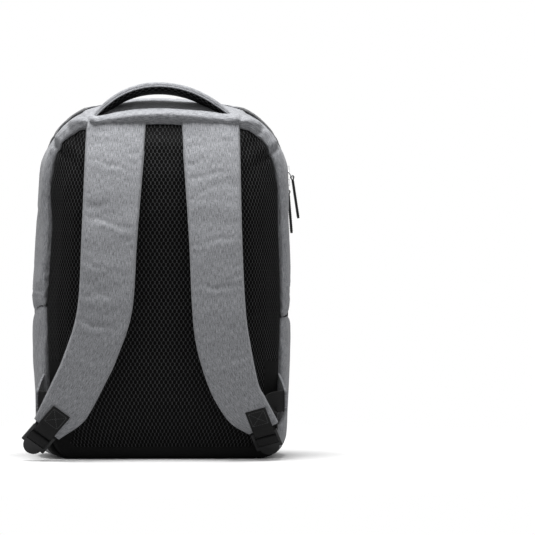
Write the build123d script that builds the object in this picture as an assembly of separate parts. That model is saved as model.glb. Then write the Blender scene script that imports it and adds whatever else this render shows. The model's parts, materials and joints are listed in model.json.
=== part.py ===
from build123d import *
import math
import os

# Solar day backpack, 25 litre class, in millimetres.
# +Z is up, the shoulder straps face -Y, the solar panel faces +Y.
# The origin is the centre of the base's underside.

# ---------------------------------------------------------------- driving dimensions
BODY_HALF = 153.0  # half width at the zip
BODY_TOP = 428.0  # top of the shell at the zip
WALL = 3.0  # fabric, foam and lining together
FAR = 200.0  # beyond every side of the bag
HIGH = 500.0  # above the bag

REAR_Y = -58.0  # back pad seam
FRONT_Y = 57.0  # front panel seam
ZIP_Y = 12.0  # centre plane of the main zip
ZIP_HALF = 9.5  # visible half width of the tape
SEAM_Z = 169.0  # lower gusset seam, where the main zip ends
FOLD_Z = 212.0  # the front flap folds down about this level
FOLD_Y = 88.0

# Shell outline in the XZ plane for BODY_HALF and BODY_TOP. Other sections scale it.
BASE_FLAT = 118.0  # half width of the flat base
FOOT_MID = (139.5, 8.0)
FOOT_TOP = (147.0, 30.0)
WAIST = (153.0, 190.0)
CORNER_X, CORNER_Z, CORNER_R = 63.4, 338.8, 86.0
CORNER_END = 66.3  # degrees

# Sections: y, half width, bottom, top
SHELL = [
    (REAR_Y, 141.0, 0.0, 408.0),
    (-30.0, 150.0, 0.0, 419.0),
    (ZIP_Y - ZIP_HALF, BODY_HALF, 0.0, BODY_TOP),
    (ZIP_Y + ZIP_HALF, BODY_HALF, 0.0, BODY_TOP),
    (48.0, 151.0, 0.0, 424.0),
    (FRONT_Y, 149.0, 0.0, 414.0),
]
FRONT_DOME = [
    (FRONT_Y, 149.0, 0.0, 414.0),
    (68.0, 143.0, 28.0, 388.0),
    (77.0, 134.0, 62.0, 356.0),
    (84.0, 120.0, 100.0, 318.0),
    (FOLD_Y, 100.0, 140.0, 280.0),
]
BACK_DOME = [
    (REAR_Y, 138.0, 4.0, 403.0),
    (-68.0, 134.0, 7.0, 394.0),
    (-78.0, 124.0, 34.0, 372.0),
    (-85.0, 110.0, 66.0, 335.0),
    (-89.0, 92.0, 105.0, 292.0),
]
DOME_SLOPE = 0.7  # a dome's layers step in by this share of their depth each way

# Stiffeners inside the shell: half sizes, thickness and height
BOARD_X, BOARD_Y, BOARD_T = 105.0, 50.0, 2.5
DIVIDER_X, DIVIDER_Y, DIVIDER_T, DIVIDER_TOP = 112.0, -33.0, 3.0, 262.0

# Front panel layers, as depths below the outer surface
COVER = 1.0
CELL = 1.5
BACKING = 4.5
LINING = 5.1
FLAP_GAP = 0.6  # between the flap and what stays on the bag
FRONT_END = 120.0  # beyond the front panel

# Solar cells: four upright strips under the cover
CELL_CENTRES = (-69.0, -23.0, 23.0, 69.0)
CELL_HALF = 21.0
CELL_LOW, CELL_TOP = 232.0, 372.0

# Electric parts on the flap's lining: x and z of each box's corners, then its depth
JUNCTION = (-50.0, -6.0, 238.0, 262.0, 11.0)
REGULATOR = (34.0, 62.0, 228.0, 266.0, 14.0)
CASE_ROUND = 3.0
LEAD_R, LEAD_BEND = 1.75, 10.0
LEAD_DEPTH, LEAD_LOW, LEAD_HIGH = 6.0, 246.0, 252.0
SOCKET_X, SOCKET_HALF, SOCKET_L, SOCKET_SKIN = 48.0, 6.5, 10.0, 0.5
SOCKET_OUT, SOCKET_IN = 4.0, 10.0  # depths of its walls below the lining
TONGUE_HALF, TONGUE_T, TONGUE_CLEAR = 5.0, 1.9, 2.0

# Back pad layers
PAD = 10.0
SHEET = 11.5

# Zip: tape and coil as depths below the shell surface
TAPE_OUT, TAPE_IN = 1.2, 2.0
COIL_OUT, COIL_IN = 0.2, 2.8
COIL_GAP = 0.8  # half gap between the two coil halves
COIL_HALF = 3.5

POCKET_ZIP_Z = 205.5
POCKET_TAPE_HALF = 6.4
BAND_TOP = 219.0
POCKET_WALL = 2.5
POCKET_LINING = (9.0, 9.6)
# The pocket zip seen from above: a straight front run and a round corner at each end
TURN_X, TURN_Y, TURN_R = 102.6, 37.9, 50.2
BAND_REACH = 25.0  # the zip's band is cut from stock this far above and below its line

# Slider, in its own frame: X out of the bag, Y across the chain, Z along it
SLIDER_L, SLIDER_W = 12.0, 9.0
PLATE = 1.5
GLIDE = 0.4  # top plate above the shell surface
UNDER = 3.6  # bottom plate below it
BRIDGE_L, BRIDGE_H, BRIDGE_W, BRIDGE_T = 9.0, 3.4, 2.2, 1.2
PLATE_ROUND, BRIDGE_ROUND = 2.2, 1.1
POST_HALF, POST_LOW, POST_HIGH = 0.5, 1.5, 5.0
RING_R = 0.7
RING_OUT = GLIDE + PLATE + 1.1
RING_CORNER = 1.4

# Main rings and pulls: the ring is a D, the pull folds round its low bar
RING_ALONG = -2.0  # where the ring's top bar lies in the bridge
RING_DROP = 9.0
RING_TOP_HALF, RING_LOW_HALF = 3.2, 6.0
PULL_TOP, PULL_LOW = 4.2, 5.3  # half widths
PULL_L, PULL_T = 50.0, 2.6
PULL_BORE = 0.95
PULL_ROUND = 1.5
PULL_EYE = PULL_T / 2 + 0.5

# Pocket ring and pull: the ring hangs on the bridge, the pull has a punched eye
LINK_OUT, LINK_RISE, LINK_DROP = 8.0, 2.1, 8.0
EYE_R, EYE_EDGE = 1.3, 3.4

HANG = {"upper": (32, 13), "lower": (0, 1)}  # tilts of each ring and of its pull, degrees
UPPER_ANGLE = 3.6  # where the upper slider stands on the corner arc
LOWER_Z = 328.5
POCKET_ANGLE = 45.0  # where the pocket slider stands on its corner

# Shoulder straps
STRAP_PAD, STRAP_ALL = 8.0, 11.5
STRAP_GAP = 0.8  # clear of the back pad
STRAP_NEAR, STRAP_DEEP = -150.0, 110.0  # the outline is cut through these y values
STRAP_THIN = (1.0, 1.0, 1.0, 1.0, 1.0, 1.0, 1.0, 0.85, 0.6, 0.4)  # share of thickness along the profile
# Outer face of a strap seen from the side: y, z
STRAP_ARCH = [(-66.0, 402.0), (-90.0, 357.0), (-106.5, 309.0), (-119.0, 255.0), (-126.5, 190.0),
              (-125.5, 141.0), (-121.0, 103.0)]
STRAP_TAIL = {
    "right": [(-111.0, 68.0), (-99.5, 47.0), (-86.0, 27.0)],
    "left": [(-112.0, 68.0), (-104.5, 47.0), (-96.5, 27.0)],
}
# Edges of each strap seen from the wearer's side, top to end: x, z
STRAP_INNER = {
    "right": [(24.0, 402.0), (33.0, 270.0), (37.0, 180.0), (42.0, 136.0), (54.0, 93.0), (66.0, 66.0),
              (82.0, 43.0), (103.0, 30.0)],
    "left": [(-18.0, 402.0), (-29.0, 270.0), (-35.5, 178.0), (-53.0, 122.0), (-66.0, 93.0), (-84.0, 58.0),
             (-96.0, 42.0), (-121.5, 25.0)],
}
STRAP_OUTER = {
    "right": [(92.0, 402.0), (94.0, 270.0), (98.0, 180.0), (104.0, 136.0), (113.0, 91.0), (122.0, 72.0),
              (137.0, 44.0)],
    "left": [(-88.0, 402.0), (-93.0, 270.0), (-98.0, 180.0), (-114.0, 124.0), (-129.0, 90.0), (-142.0, 63.0),
             (-149.0, 49.0)],
}

# Strap end fittings: the buckle's top bar, its lean seen from the wearer's side and its slope to the bag
BAR_AT = {"right": (121.3, -92.5, 32.2), "left": (-138.8, -101.0, 33.8)}
LEAN = {"right": 22.0, "left": -41.0}
SLOPE = {"right": 33.0, "left": 22.0}
TAB_L, TAB_W, TAB_T = 24.0, 25.0, 1.6
BUCKLE_W, BUCKLE_L, BUCKLE_T = 32.0, 22.0, 3.2
BAR, BAR_CLEAR = 3.4, 0.4
RAIL_CLEAR = 0.4
END_PLATE = 5.0
THUMB_R, THUMB_INSET, THUMB_THIN = 12.0, 2.0, 0.8

# Wings on the lower side seams: upper and lower ends of the seam edge, then the tip, on the +X side
WING = [(139.0, REAR_Y - 0.2, 101.0), (139.0, REAR_Y - 0.2, 41.0), (146.5, -82.0, 62.0)]
WING_T = 3.0
# Lower webbing, wing to buckle: centre of each cross-section and the direction of its width, per side
WEBBING_W, WEBBING_T = 24.0, 1.5
WEBBING = {
    "right": [((129.0, -82.5, 74.0), (1, 0, 0.35)), ((127.5, -84.0, 50.0), (1, 0, 0.45)),
              ((125.2, -82.0, 27.0), (1, 0, 0.35))],
    "left": [((-129.0, -82.5, 74.0), (1, 0, -0.35)), ((-135.0, -87.0, 50.0), (1, 0, -0.6)),
             ((-143.5, -92.0, 29.0), (1, 0, -0.85))],
}

# Grab handle
HANDLE_X, HANDLE_Y, HANDLE_Z = 5.0, -36.0, 413.0
HANDLE_HALF, HANDLE_RISE = 74.0, 38.0
HANDLE_W, HANDLE_GRIP, HANDLE_ALL = 35.0, 6.0, 11.0
HANDLE_LIFT = 0.5
FOOT_RISE = {-1: 18.5, 1: 31.7}  # rise of the foot's bevels, towards the back and the front, over HANDLE_W

os.makedirs("parts", exist_ok=True)
NODES = {}


# ---------------------------------------------------------------- shell outlines
def corner_point(angle):
    a = math.radians(angle)
    return CORNER_X + CORNER_R * math.cos(a), CORNER_Z + CORNER_R * math.sin(a)


def arch_wire(y, half, bottom, top):
    """The shell's outline at y: flat base, round feet, straight sides, round shoulders, low crown."""
    sx, sz = half / BODY_HALF, (top - bottom) / BODY_TOP

    def at(x, z):
        return Vector(x * sx, y, bottom + z * sz)

    def both(points):
        right = [at(x, z) for x, z in points]
        left = [at(-x, z) for x, z in points]
        return right, left

    foot, foot_left = both([(BASE_FLAT, 0), FOOT_MID, FOOT_TOP])
    corner, corner_left = both([corner_point(a) for a in (0, CORNER_END / 2, CORNER_END)])
    waist, waist_left = at(*WAIST), at(-WAIST[0], WAIST[1])
    edges = [
        Edge.make_line(foot_left[0], foot[0]),
        Edge.make_three_point_arc(*foot),
        Edge.make_line(foot[2], waist),
        Edge.make_line(waist, corner[0]),
        Edge.make_three_point_arc(*corner),
        Edge.make_three_point_arc(corner[2], at(0, BODY_TOP), corner_left[2]),
        Edge.make_three_point_arc(*reversed(corner_left)),
        Edge.make_line(corner_left[0], waist_left),
        Edge.make_line(waist_left, foot_left[2]),
        Edge.make_three_point_arc(*reversed(foot_left)),
    ]
    return Wire(edges)


def loft(sections):
    return Solid.make_loft([arch_wire(*s) for s in sections], ruled=True)


def shell_core(inset):
    """The solid inside the shell's surface at that depth."""
    return loft([(y, half - inset, bottom + inset, top - inset) for y, half, bottom, top in SHELL])


def dome_core(sections, inset):
    """A dome's inside at that depth. Its rim stays in the seam plane."""
    sign = 1 if sections[-1][0] > 0 else -1
    rim_y, rim_half, rim_bottom, rim_top = sections[0]
    step = inset * DOME_SLOPE
    inner = [(rim_y, rim_half - inset, rim_bottom + inset, rim_top - inset)]
    inner += [(y - sign * step, half - step, bottom + step, top - step) for y, half, bottom, top in sections[1:]]
    return loft(inner)


def box(x0, x1, y0, y1, z0, z1):
    return Pos((x0 + x1) / 2, (y0 + y1) / 2, (z0 + z1) / 2) * Box(x1 - x0, y1 - y0, z1 - z0)


def slab(y0, y1, z0, z1, x0=-FAR, x1=FAR):
    return box(x0, x1, y0, y1, z0, z1)


shell_wall = shell_core(0) - shell_core(WALL)
tape_wall = shell_core(TAPE_OUT) - shell_core(TAPE_IN)
coil_wall = shell_core(COIL_OUT) - shell_core(COIL_IN)


def side_of(solid, sign):
    """The half of a solid on that side of the middle plane."""
    return solid & slab(-FAR, FAR, -FAR, HIGH, *sorted((0, sign * FAR)))


# ---------------------------------------------------------------- shell of the bag
def shell_nodes():
    base_half = BASE_FLAT * SHELL[0][1] / BODY_HALF
    base = box(-base_half, base_half, REAR_Y, FRONT_Y, -FAR, WALL)
    board_top = WALL + BOARD_T
    NODES["base_panel"] = shell_wall & base
    NODES["base_board"] = box(-BOARD_X, BOARD_X, -BOARD_Y, BOARD_Y, WALL, board_top)
    NODES["rear_gusset"] = shell_wall & slab(REAR_Y, ZIP_Y - ZIP_HALF, SEAM_Z, HIGH)
    lower = (shell_wall & slab(REAR_Y, FRONT_Y, -FAR, SEAM_Z)) - base
    foot = shell_wall & slab(ZIP_Y + ZIP_HALF, FRONT_Y, SEAM_Z, FOLD_Z)
    for name, sign in (("left", -1), ("right", 1)):
        NODES[f"{name}_lower_gusset"] = side_of(lower, sign)
        NODES[f"{name}_gusset_foot"] = side_of(foot, sign)
    NODES["front_gusset"] = shell_wall & slab(ZIP_Y + ZIP_HALF, FRONT_Y, FOLD_Z + FLAP_GAP, HIGH)
    NODES["laptop_divider"] = box(-DIVIDER_X, DIVIDER_X, DIVIDER_Y, DIVIDER_Y + DIVIDER_T, board_top, DIVIDER_TOP)


def back_nodes():
    pad, inside, behind = (dome_core(BACK_DOME, depth) for depth in (0, PAD, SHEET))
    NODES["back_pad"] = pad - inside
    NODES["frame_sheet"] = inside - behind


# ---------------------------------------------------------------- main zip
def zip_nodes():
    rear_tape = tape_wall & slab(ZIP_Y - ZIP_HALF, ZIP_Y - COIL_HALF, SEAM_Z, HIGH)
    rear_coil = coil_wall & slab(ZIP_Y - COIL_HALF, ZIP_Y - COIL_GAP, SEAM_Z, HIGH)
    front_tape = tape_wall & slab(ZIP_Y + COIL_HALF, ZIP_Y + ZIP_HALF, SEAM_Z, HIGH)
    front_coil = coil_wall & slab(ZIP_Y + COIL_GAP, ZIP_Y + COIL_HALF, SEAM_Z, HIGH)
    above, below = slab(-FAR, FAR, FOLD_Z + FLAP_GAP, HIGH), slab(-FAR, FAR, SEAM_Z, FOLD_Z)
    NODES["main_zip_rear_tape"] = rear_tape
    NODES["main_zip_rear_coil"] = rear_coil
    NODES["main_zip_front_tape"] = front_tape & above
    NODES["main_zip_front_coil"] = front_coil & above
    NODES["main_zip_end_tapes"] = front_tape & below
    NODES["main_zip_end_coils"] = front_coil & below


# ---------------------------------------------------------------- front: solar panel and pocket
def front_nodes():
    skin, cover, cell, backing, lining = (dome_core(FRONT_DOME, d) for d in (0, COVER, CELL, BACKING, LINING))
    upper = slab(FRONT_Y, FRONT_END, FOLD_Z + FLAP_GAP, HIGH)
    panel = slab(FRONT_Y, FRONT_END, BAND_TOP, HIGH)
    strips = [slab(FRONT_Y, FRONT_END, CELL_LOW, CELL_TOP, x - CELL_HALF, x + CELL_HALF) for x in CELL_CENTRES]
    NODES["solar_cover"] = (skin - cover) & panel
    NODES["solar_cells"] = Compound(children=[((cover - cell) & strip).solid() for strip in strips])
    between = ((cover - backing) & panel) - strips
    NODES["panel_backing"] = (between + [(cell - backing) & strip for strip in strips]).clean()
    NODES["panel_band"] = (skin - backing) & slab(FRONT_Y, FRONT_END, FOLD_Z + FLAP_GAP, BAND_TOP)
    NODES["flap_lining"] = (backing - lining) & upper

    z_low, z_high = POCKET_ZIP_Z - POCKET_TAPE_HALF, POCKET_ZIP_Z + POCKET_TAPE_HALF
    coil_low, coil_high = POCKET_ZIP_Z - COIL_HALF, POCKET_ZIP_Z + COIL_HALF
    NODES["front_pocket_panel"] = (skin - dome_core(FRONT_DOME, POCKET_WALL)) & slab(FRONT_Y, FRONT_END, 0, z_low)
    tape, coil = pocket_band(TAPE_OUT, TAPE_IN), pocket_band(COIL_OUT, COIL_IN)
    NODES["pocket_zip_tapes"] = Compound(children=[
        (tape & slab(FRONT_Y, FRONT_END, z_low, coil_low)).solid(),
        (tape & slab(FRONT_Y, FRONT_END, coil_high, z_high)).solid(),
    ])
    NODES["pocket_zip_coils"] = Compound(children=[
        (coil & slab(FRONT_Y, FRONT_END, coil_low, POCKET_ZIP_Z - COIL_GAP)).solid(),
        (coil & slab(FRONT_Y, FRONT_END, POCKET_ZIP_Z + COIL_GAP, coil_high)).solid(),
    ])
    outer, inner = (dome_core(FRONT_DOME, depth) for depth in POCKET_LINING)
    NODES["pocket_lining"] = (outer - inner) & slab(FRONT_Y, FRONT_END, WALL, z_high)


def pocket_band(depth0, depth1):
    """A band between two depths that follows the pocket zip's line: straight, with a round turn at each end."""
    low, high = POCKET_ZIP_Z - BAND_REACH, POCKET_ZIP_Z + BAND_REACH

    def core(depth):
        solid = box(-TURN_X, TURN_X, FRONT_Y, TURN_Y + TURN_R - depth, low, high)
        for x in (-TURN_X, TURN_X):
            solid = solid + Pos(x, TURN_Y, POCKET_ZIP_Z) * Cylinder(TURN_R - depth, 2 * BAND_REACH)
        return solid & slab(FRONT_Y, FRONT_END, low, high)

    return core(depth0) - core(depth1)


def electric_nodes():
    """The panel's junction box, its lead and the USB regulator, all held on the flap's lining."""
    wall = FOLD_Y - LINING * DOME_SLOPE
    for name, (x0, x1, z0, z1, depth) in (("junction_box", JUNCTION), ("regulator_case", REGULATOR)):
        NODES[name] = fillet(box(x0, x1, wall - depth, wall, z0, z1).edges().filter_by(Axis.Z), CASE_ROUND)
    start, end = JUNCTION[1], REGULATOR[0]
    lead_y, bends = wall - LEAD_DEPTH, (start * 2 / 3 + end / 3, start / 3 + end * 2 / 3)
    path = FilletPolyline((start, lead_y, LEAD_LOW), (bends[0], lead_y, LEAD_LOW), (bends[1], lead_y, LEAD_HIGH),
                          (end, lead_y, LEAD_HIGH), radius=LEAD_BEND)
    NODES["panel_lead"] = sweep(Plane(origin=path @ 0, z_dir=path % 0) * Circle(LEAD_R), path)

    top, low = REGULATOR[2], REGULATOR[2] - SOCKET_L
    x0, x1, y0, y1 = SOCKET_X - SOCKET_HALF, SOCKET_X + SOCKET_HALF, wall - SOCKET_IN, wall - SOCKET_OUT
    skin = SOCKET_SKIN
    bore = box(x0 + skin, x1 - skin, y0 + skin, y1 - skin, low, top - skin)
    tongue = box(SOCKET_X - TONGUE_HALF, SOCKET_X + TONGUE_HALF, y1 - skin - TONGUE_T, y1 - skin,
                 low + TONGUE_CLEAR, top - skin)
    NODES["usb_socket"] = (box(x0, x1, y0, y1, low, top) - bore) + tongue


# ---------------------------------------------------------------- zip sliders, rings and pulls
def slider_solid():
    plate = Box(PLATE, SLIDER_W, SLIDER_L)
    plate = fillet(plate.edges().filter_by(Axis.X), PLATE_ROUND)
    top = Pos(GLIDE + PLATE / 2, 0, 0) * plate
    bottom = Pos(-UNDER - PLATE / 2, 0, 0) * plate
    post = box(-UNDER, GLIDE, -POST_HALF, POST_HALF, POST_LOW, POST_HIGH)
    out = GLIDE + PLATE
    bridge = Pos(out + BRIDGE_H / 2, 0, 0) * Box(BRIDGE_H, BRIDGE_W, BRIDGE_L)
    bridge = fillet(bridge.edges().filter_by(Axis.Y).group_by(Axis.X)[-1], BRIDGE_ROUND)
    half = BRIDGE_L / 2 - BRIDGE_T
    window = box(out, out + BRIDGE_H - BRIDGE_T, -BRIDGE_W, BRIDGE_W, -half, half)
    return top + bottom + post + (bridge - window)


def wire_ring(points):
    path = FilletPolyline(*points, radius=RING_CORNER, close=True)
    return sweep(Plane(origin=path @ 0, z_dir=path % 0) * Circle(RING_R), path)


def ring_solid():
    """A D ring about its top bar: X out, Y across, hanging to -Z."""
    return wire_ring([(0, -RING_TOP_HALF, 0), (0, RING_TOP_HALF, 0), (0, RING_LOW_HALF, -RING_DROP),
                      (0, -RING_LOW_HALF, -RING_DROP)])


def blade(top):
    """A pull's tapered leather, rounded at its corners: X out, hanging to -Z."""
    corners = [(-PULL_TOP, top), (PULL_TOP, top), (PULL_LOW, -PULL_L), (-PULL_LOW, -PULL_L)]
    face = Face(Wire.make_polygon([Vector(-PULL_T / 2, y, z) for y, z in corners], close=True))
    return fillet(extrude(face, amount=PULL_T, dir=(1, 0, 0)).edges().filter_by(Axis.X), PULL_ROUND)


def pull_solid():
    """A folded leather pull about the ring's low bar, hanging to -Z."""
    eye = Rot(90, 0, 0) * Cylinder(PULL_EYE, 2 * PULL_TOP)
    hole = Rot(90, 0, 0) * Cylinder(PULL_BORE, 4 * PULL_TOP)
    return eye + blade(0.0) - hole


def link_solid():
    """The pocket slider's ring, about the bridge: X out, Y along the bridge, hanging to -Z."""
    out = LINK_OUT - RING_OUT
    return wire_ring([(0, 0, LINK_RISE), (out, 0, LINK_RISE), (out, 0, -LINK_DROP), (0, 0, -LINK_DROP)])


def eyed_pull_solid():
    """The pocket's leather pull about its punched eye, hanging to -Z."""
    return blade(EYE_EDGE) - Rot(0, 90, 0) * Cylinder(EYE_R, 4 * PULL_T)


def chain_frame(kind):
    """Placement of a slider: where it stands, with X out of the bag and Z along its chain."""
    if kind == "upper":
        x, z = corner_point(UPPER_ANGLE)
        return Pos(x, ZIP_Y, z) * Rot(0, -UPPER_ANGLE, 0)
    if kind == "lower":
        x1, z1 = corner_point(0)
        share = (LOWER_Z - WAIST[1]) / (z1 - WAIST[1])
        lean = math.degrees(math.atan2(WAIST[0] - x1, z1 - WAIST[1]))
        return Pos(WAIST[0] + (x1 - WAIST[0]) * share, ZIP_Y, LOWER_Z) * Rot(0, -lean, 0)
    a = math.radians(POCKET_ANGLE)
    corner = Pos(TURN_X + TURN_R * math.cos(a), TURN_Y + TURN_R * math.sin(a), POCKET_ZIP_Z)
    return corner * Rot(0, 0, POCKET_ANGLE)


def slider_nodes():
    for kind, (ring_tilt, pull_tilt) in HANG.items():
        frame = chain_frame(kind)
        ring_at = frame * Pos(RING_OUT, 0, RING_ALONG) * Rot(0, -ring_tilt, 0)
        pull_at = ring_at * Pos(0, 0, -RING_DROP) * Rot(0, ring_tilt - pull_tilt, 0)
        NODES[f"{kind}_slider"] = frame * slider_solid()
        NODES[f"{kind}_slider_ring"] = ring_at * ring_solid()
        NODES[f"{kind}_slider_pull"] = pull_at * pull_solid()
    frame = chain_frame("pocket")
    NODES["pocket_slider"] = frame * Rot(90, 0, 0) * slider_solid()
    NODES["pocket_slider_ring"] = frame * Pos(RING_OUT, 0, 0) * link_solid()
    middle = (RING_OUT + LINK_OUT) / 2
    NODES["pocket_slider_pull"] = frame * Pos(middle, 0, -LINK_DROP) * eyed_pull_solid()


# ---------------------------------------------------------------- shoulder straps
def offset_points(points, distance):
    """Each point moved sideways, square to the line through its neighbours."""
    moved = []
    for i, (a, b) in enumerate(points):
        a0, b0 = points[max(i - 1, 0)]
        a1, b1 = points[min(i + 1, len(points) - 1)]
        length = math.hypot(a1 - a0, b1 - b0)
        moved.append((a - (b1 - b0) / length * distance, b + (a1 - a0) / length * distance))
    return moved


def ribbon_face(first, second, lift):
    """A face between two splines, with each point raised into space by lift."""
    one = Edge.make_spline([Vector(*lift(p)) for p in first])
    two = Edge.make_spline([Vector(*lift(p)) for p in second])
    ends = [Edge.make_line(one @ 1, two @ 1), Edge.make_line(two @ 0, one @ 0)]
    return Face(Wire([one, ends[0], two, ends[1]]))


def strap_band(side, depth0, depth1):
    """A strap layer seen from the side, between two depths below its outer face."""
    profile = STRAP_ARCH + STRAP_TAIL[side]
    layers = [[offset_points(profile, depth * thin)[i] for i, thin in enumerate(STRAP_THIN)]
              for depth in (depth0, depth1)]
    face = ribbon_face(*layers, lambda p: (-FAR, p[0], p[1]))
    return extrude(face, amount=2 * FAR, dir=(1, 0, 0))


def strap_outline(side):
    face = ribbon_face(STRAP_INNER[side], STRAP_OUTER[side], lambda p: (p[0], STRAP_NEAR, p[1]))
    return extrude(face, amount=STRAP_DEEP, dir=(0, 1, 0))


def end_frame(side):
    """Frame of a strap end: X along the buckle's bars, -Y down the strap, Z away from the bag."""
    lean, slope = math.radians(LEAN[side]), math.radians(SLOPE[side])
    normal = Vector(0, -math.cos(slope), -math.sin(slope))
    down = Vector(math.sin(lean), math.cos(lean) * math.tan(slope), -math.cos(lean)).normalized()
    return Plane(origin=BAR_AT[side], x_dir=normal.cross(down), z_dir=normal)


def tab_solid():
    """A webbing tab: a flat to sew on and a loop round the buckle's top bar."""
    inner = BAR / 2 + BAR_CLEAR
    outer = inner + TAB_T
    loop = Rot(0, 90, 0) * (Cylinder(outer, TAB_W) - Cylinder(inner, TAB_W))
    flat = box(-TAB_W / 2, TAB_W / 2, inner + TAB_T / 2, TAB_L, -TAB_T / 2, TAB_T / 2)
    return flat + loop


def buckle_solid():
    """A ladder lock about its top bar: two rails, two bars, an end plate and a round thumb lift."""
    half_w, half_t = BUCKLE_W / 2, BUCKLE_T / 2
    rail_w = half_w - TAB_W / 2 - RAIL_CLEAR
    solid = box(-half_w, half_w, -BUCKLE_L, -BUCKLE_L + END_PLATE, -half_t, half_t)
    for x in (-half_w, half_w - rail_w):
        solid = solid + box(x, x + rail_w, -BUCKLE_L, BAR / 2, -half_t, half_t)
    for y in (0, -BUCKLE_L / 2):
        solid = solid + Pos(0, y, 0) * Rot(0, 90, 0) * Cylinder(BAR / 2, BUCKLE_W - rail_w)
    thumb_y = THUMB_INSET - BUCKLE_L
    thumb = Pos(0, thumb_y, 0) * Cylinder(THUMB_R, BUCKLE_T - THUMB_THIN)
    return solid + (thumb & box(-half_w, half_w, thumb_y - THUMB_R, thumb_y, -half_t, half_t))


def webbing_solid(side):
    """The lower webbing: a flat strip from beside the wing's tip to the buckle's bars."""
    centres = [Vector(*centre) for centre, _ in WEBBING[side]]
    sections = []
    for i, (_, width) in enumerate(WEBBING[side]):
        ahead = centres[min(i + 1, len(centres) - 1)] - centres[max(i - 1, 0)]
        across = Vector(*width) - ahead * (Vector(*width).dot(ahead) / ahead.dot(ahead))
        plane = Plane(origin=centres[i], x_dir=across, z_dir=ahead)
        sections.append(plane * Rectangle(WEBBING_W, WEBBING_T))
    return Solid.make_loft([s.wire() for s in sections], ruled=True)


def wing_solid(sign):
    corners = [Vector(sign * x, y, z) for x, y, z in WING]
    face = Face(Wire.make_polygon(corners, close=True))
    inward = (corners[2] - corners[0]).cross(corners[1] - corners[0]).normalized()
    if inward.X * sign > 0:
        inward = inward * -1
    return extrude(face, amount=WING_T, dir=inward)


def strap_nodes():
    clear = shell_core(-STRAP_GAP) + dome_core(BACK_DOME, -STRAP_GAP)
    for side, sign in (("left", -1), ("right", 1)):
        outline = strap_outline(side)
        for name, depths in (("pad", (0, STRAP_PAD)), ("mesh", (STRAP_PAD, STRAP_ALL))):
            layer = (strap_band(side, *depths) & outline) - clear
            NODES[f"{side}_strap_{name}"] = layer.solids().sort_by(SortBy.VOLUME)[-1]
        place = end_frame(side).location
        NODES[f"{side}_strap_tab"] = place * tab_solid()
        NODES[f"{side}_ladder_lock"] = place * buckle_solid()
        NODES[f"{side}_lower_webbing"] = webbing_solid(side)
        NODES[f"{side}_wing"] = wing_solid(sign)


# ---------------------------------------------------------------- grab handle
def handle_layer(depth0, depth1):
    """One layer of the arched handle between two depths below its top, with bevelled feet."""
    def arc(depth):
        start = (HANDLE_X - HANDLE_HALF + depth, HANDLE_Z)
        top = (HANDLE_X, HANDLE_Z + HANDLE_RISE - depth)
        end = (HANDLE_X + HANDLE_HALF - depth, HANDLE_Z)
        return [Vector(x, HANDLE_Y - HANDLE_W / 2, z) for x, z in (start, top, end)]

    a, b = arc(depth0), arc(depth1)
    face = Face(Wire([Edge.make_three_point_arc(*a), Edge.make_line(a[2], b[2]),
                      Edge.make_three_point_arc(*reversed(b)), Edge.make_line(b[0], a[0])]))
    layer = extrude(face, amount=HANDLE_W, dir=(0, 1, 0))
    for sign, rise in FOOT_RISE.items():
        edge, low = HANDLE_Y + sign * HANDLE_W, HANDLE_Z - HANDLE_ALL
        corners = [(HANDLE_Y, low), (HANDLE_Y, HANDLE_Z + HANDLE_LIFT), (edge, HANDLE_Z + rise), (edge, low)]
        wedge = Face(Wire.make_polygon([Vector(-FAR, y, z) for y, z in corners], close=True))
        layer = layer - extrude(wedge, amount=2 * FAR, dir=(1, 0, 0))
    return layer - shell_core(-HANDLE_LIFT)


def handle_nodes():
    NODES["handle_cover"] = handle_layer(0, HANDLE_GRIP)
    NODES["handle_mesh"] = handle_layer(HANDLE_GRIP, HANDLE_ALL)


shell_nodes()
back_nodes()
zip_nodes()
front_nodes()
electric_nodes()
slider_nodes()
strap_nodes()
handle_nodes()

for name, shape in NODES.items():
    export_step(shape, f"parts/{name}.step")
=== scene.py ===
import json
import math

import bmesh
import bpy
import numpy as np
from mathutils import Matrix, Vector, noise
from mathutils.bvhtree import BVHTree


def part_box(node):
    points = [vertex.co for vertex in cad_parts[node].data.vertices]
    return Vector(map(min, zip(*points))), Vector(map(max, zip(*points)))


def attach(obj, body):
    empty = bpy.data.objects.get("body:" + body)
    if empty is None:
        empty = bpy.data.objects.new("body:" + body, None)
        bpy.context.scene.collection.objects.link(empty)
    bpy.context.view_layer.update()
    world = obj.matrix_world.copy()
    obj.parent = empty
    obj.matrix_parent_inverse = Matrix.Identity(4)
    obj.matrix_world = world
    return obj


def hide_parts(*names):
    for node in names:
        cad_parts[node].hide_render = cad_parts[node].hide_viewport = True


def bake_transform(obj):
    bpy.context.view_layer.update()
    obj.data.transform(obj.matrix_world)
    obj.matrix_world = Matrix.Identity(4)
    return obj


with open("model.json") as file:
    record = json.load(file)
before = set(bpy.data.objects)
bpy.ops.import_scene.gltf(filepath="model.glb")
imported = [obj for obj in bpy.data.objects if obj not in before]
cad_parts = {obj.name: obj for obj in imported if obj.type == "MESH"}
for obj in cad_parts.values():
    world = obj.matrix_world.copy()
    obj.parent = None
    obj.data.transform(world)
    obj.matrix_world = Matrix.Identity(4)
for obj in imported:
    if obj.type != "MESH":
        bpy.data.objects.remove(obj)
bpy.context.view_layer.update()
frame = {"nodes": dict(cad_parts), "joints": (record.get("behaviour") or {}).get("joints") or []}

# Shapes are worked out in millimetres in the row frame and turned into metres when a mesh is made.
MM = 0.001


def box_mm(node):
    low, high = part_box(node)
    return np.array(low) / MM, np.array(high) / MM


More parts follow.
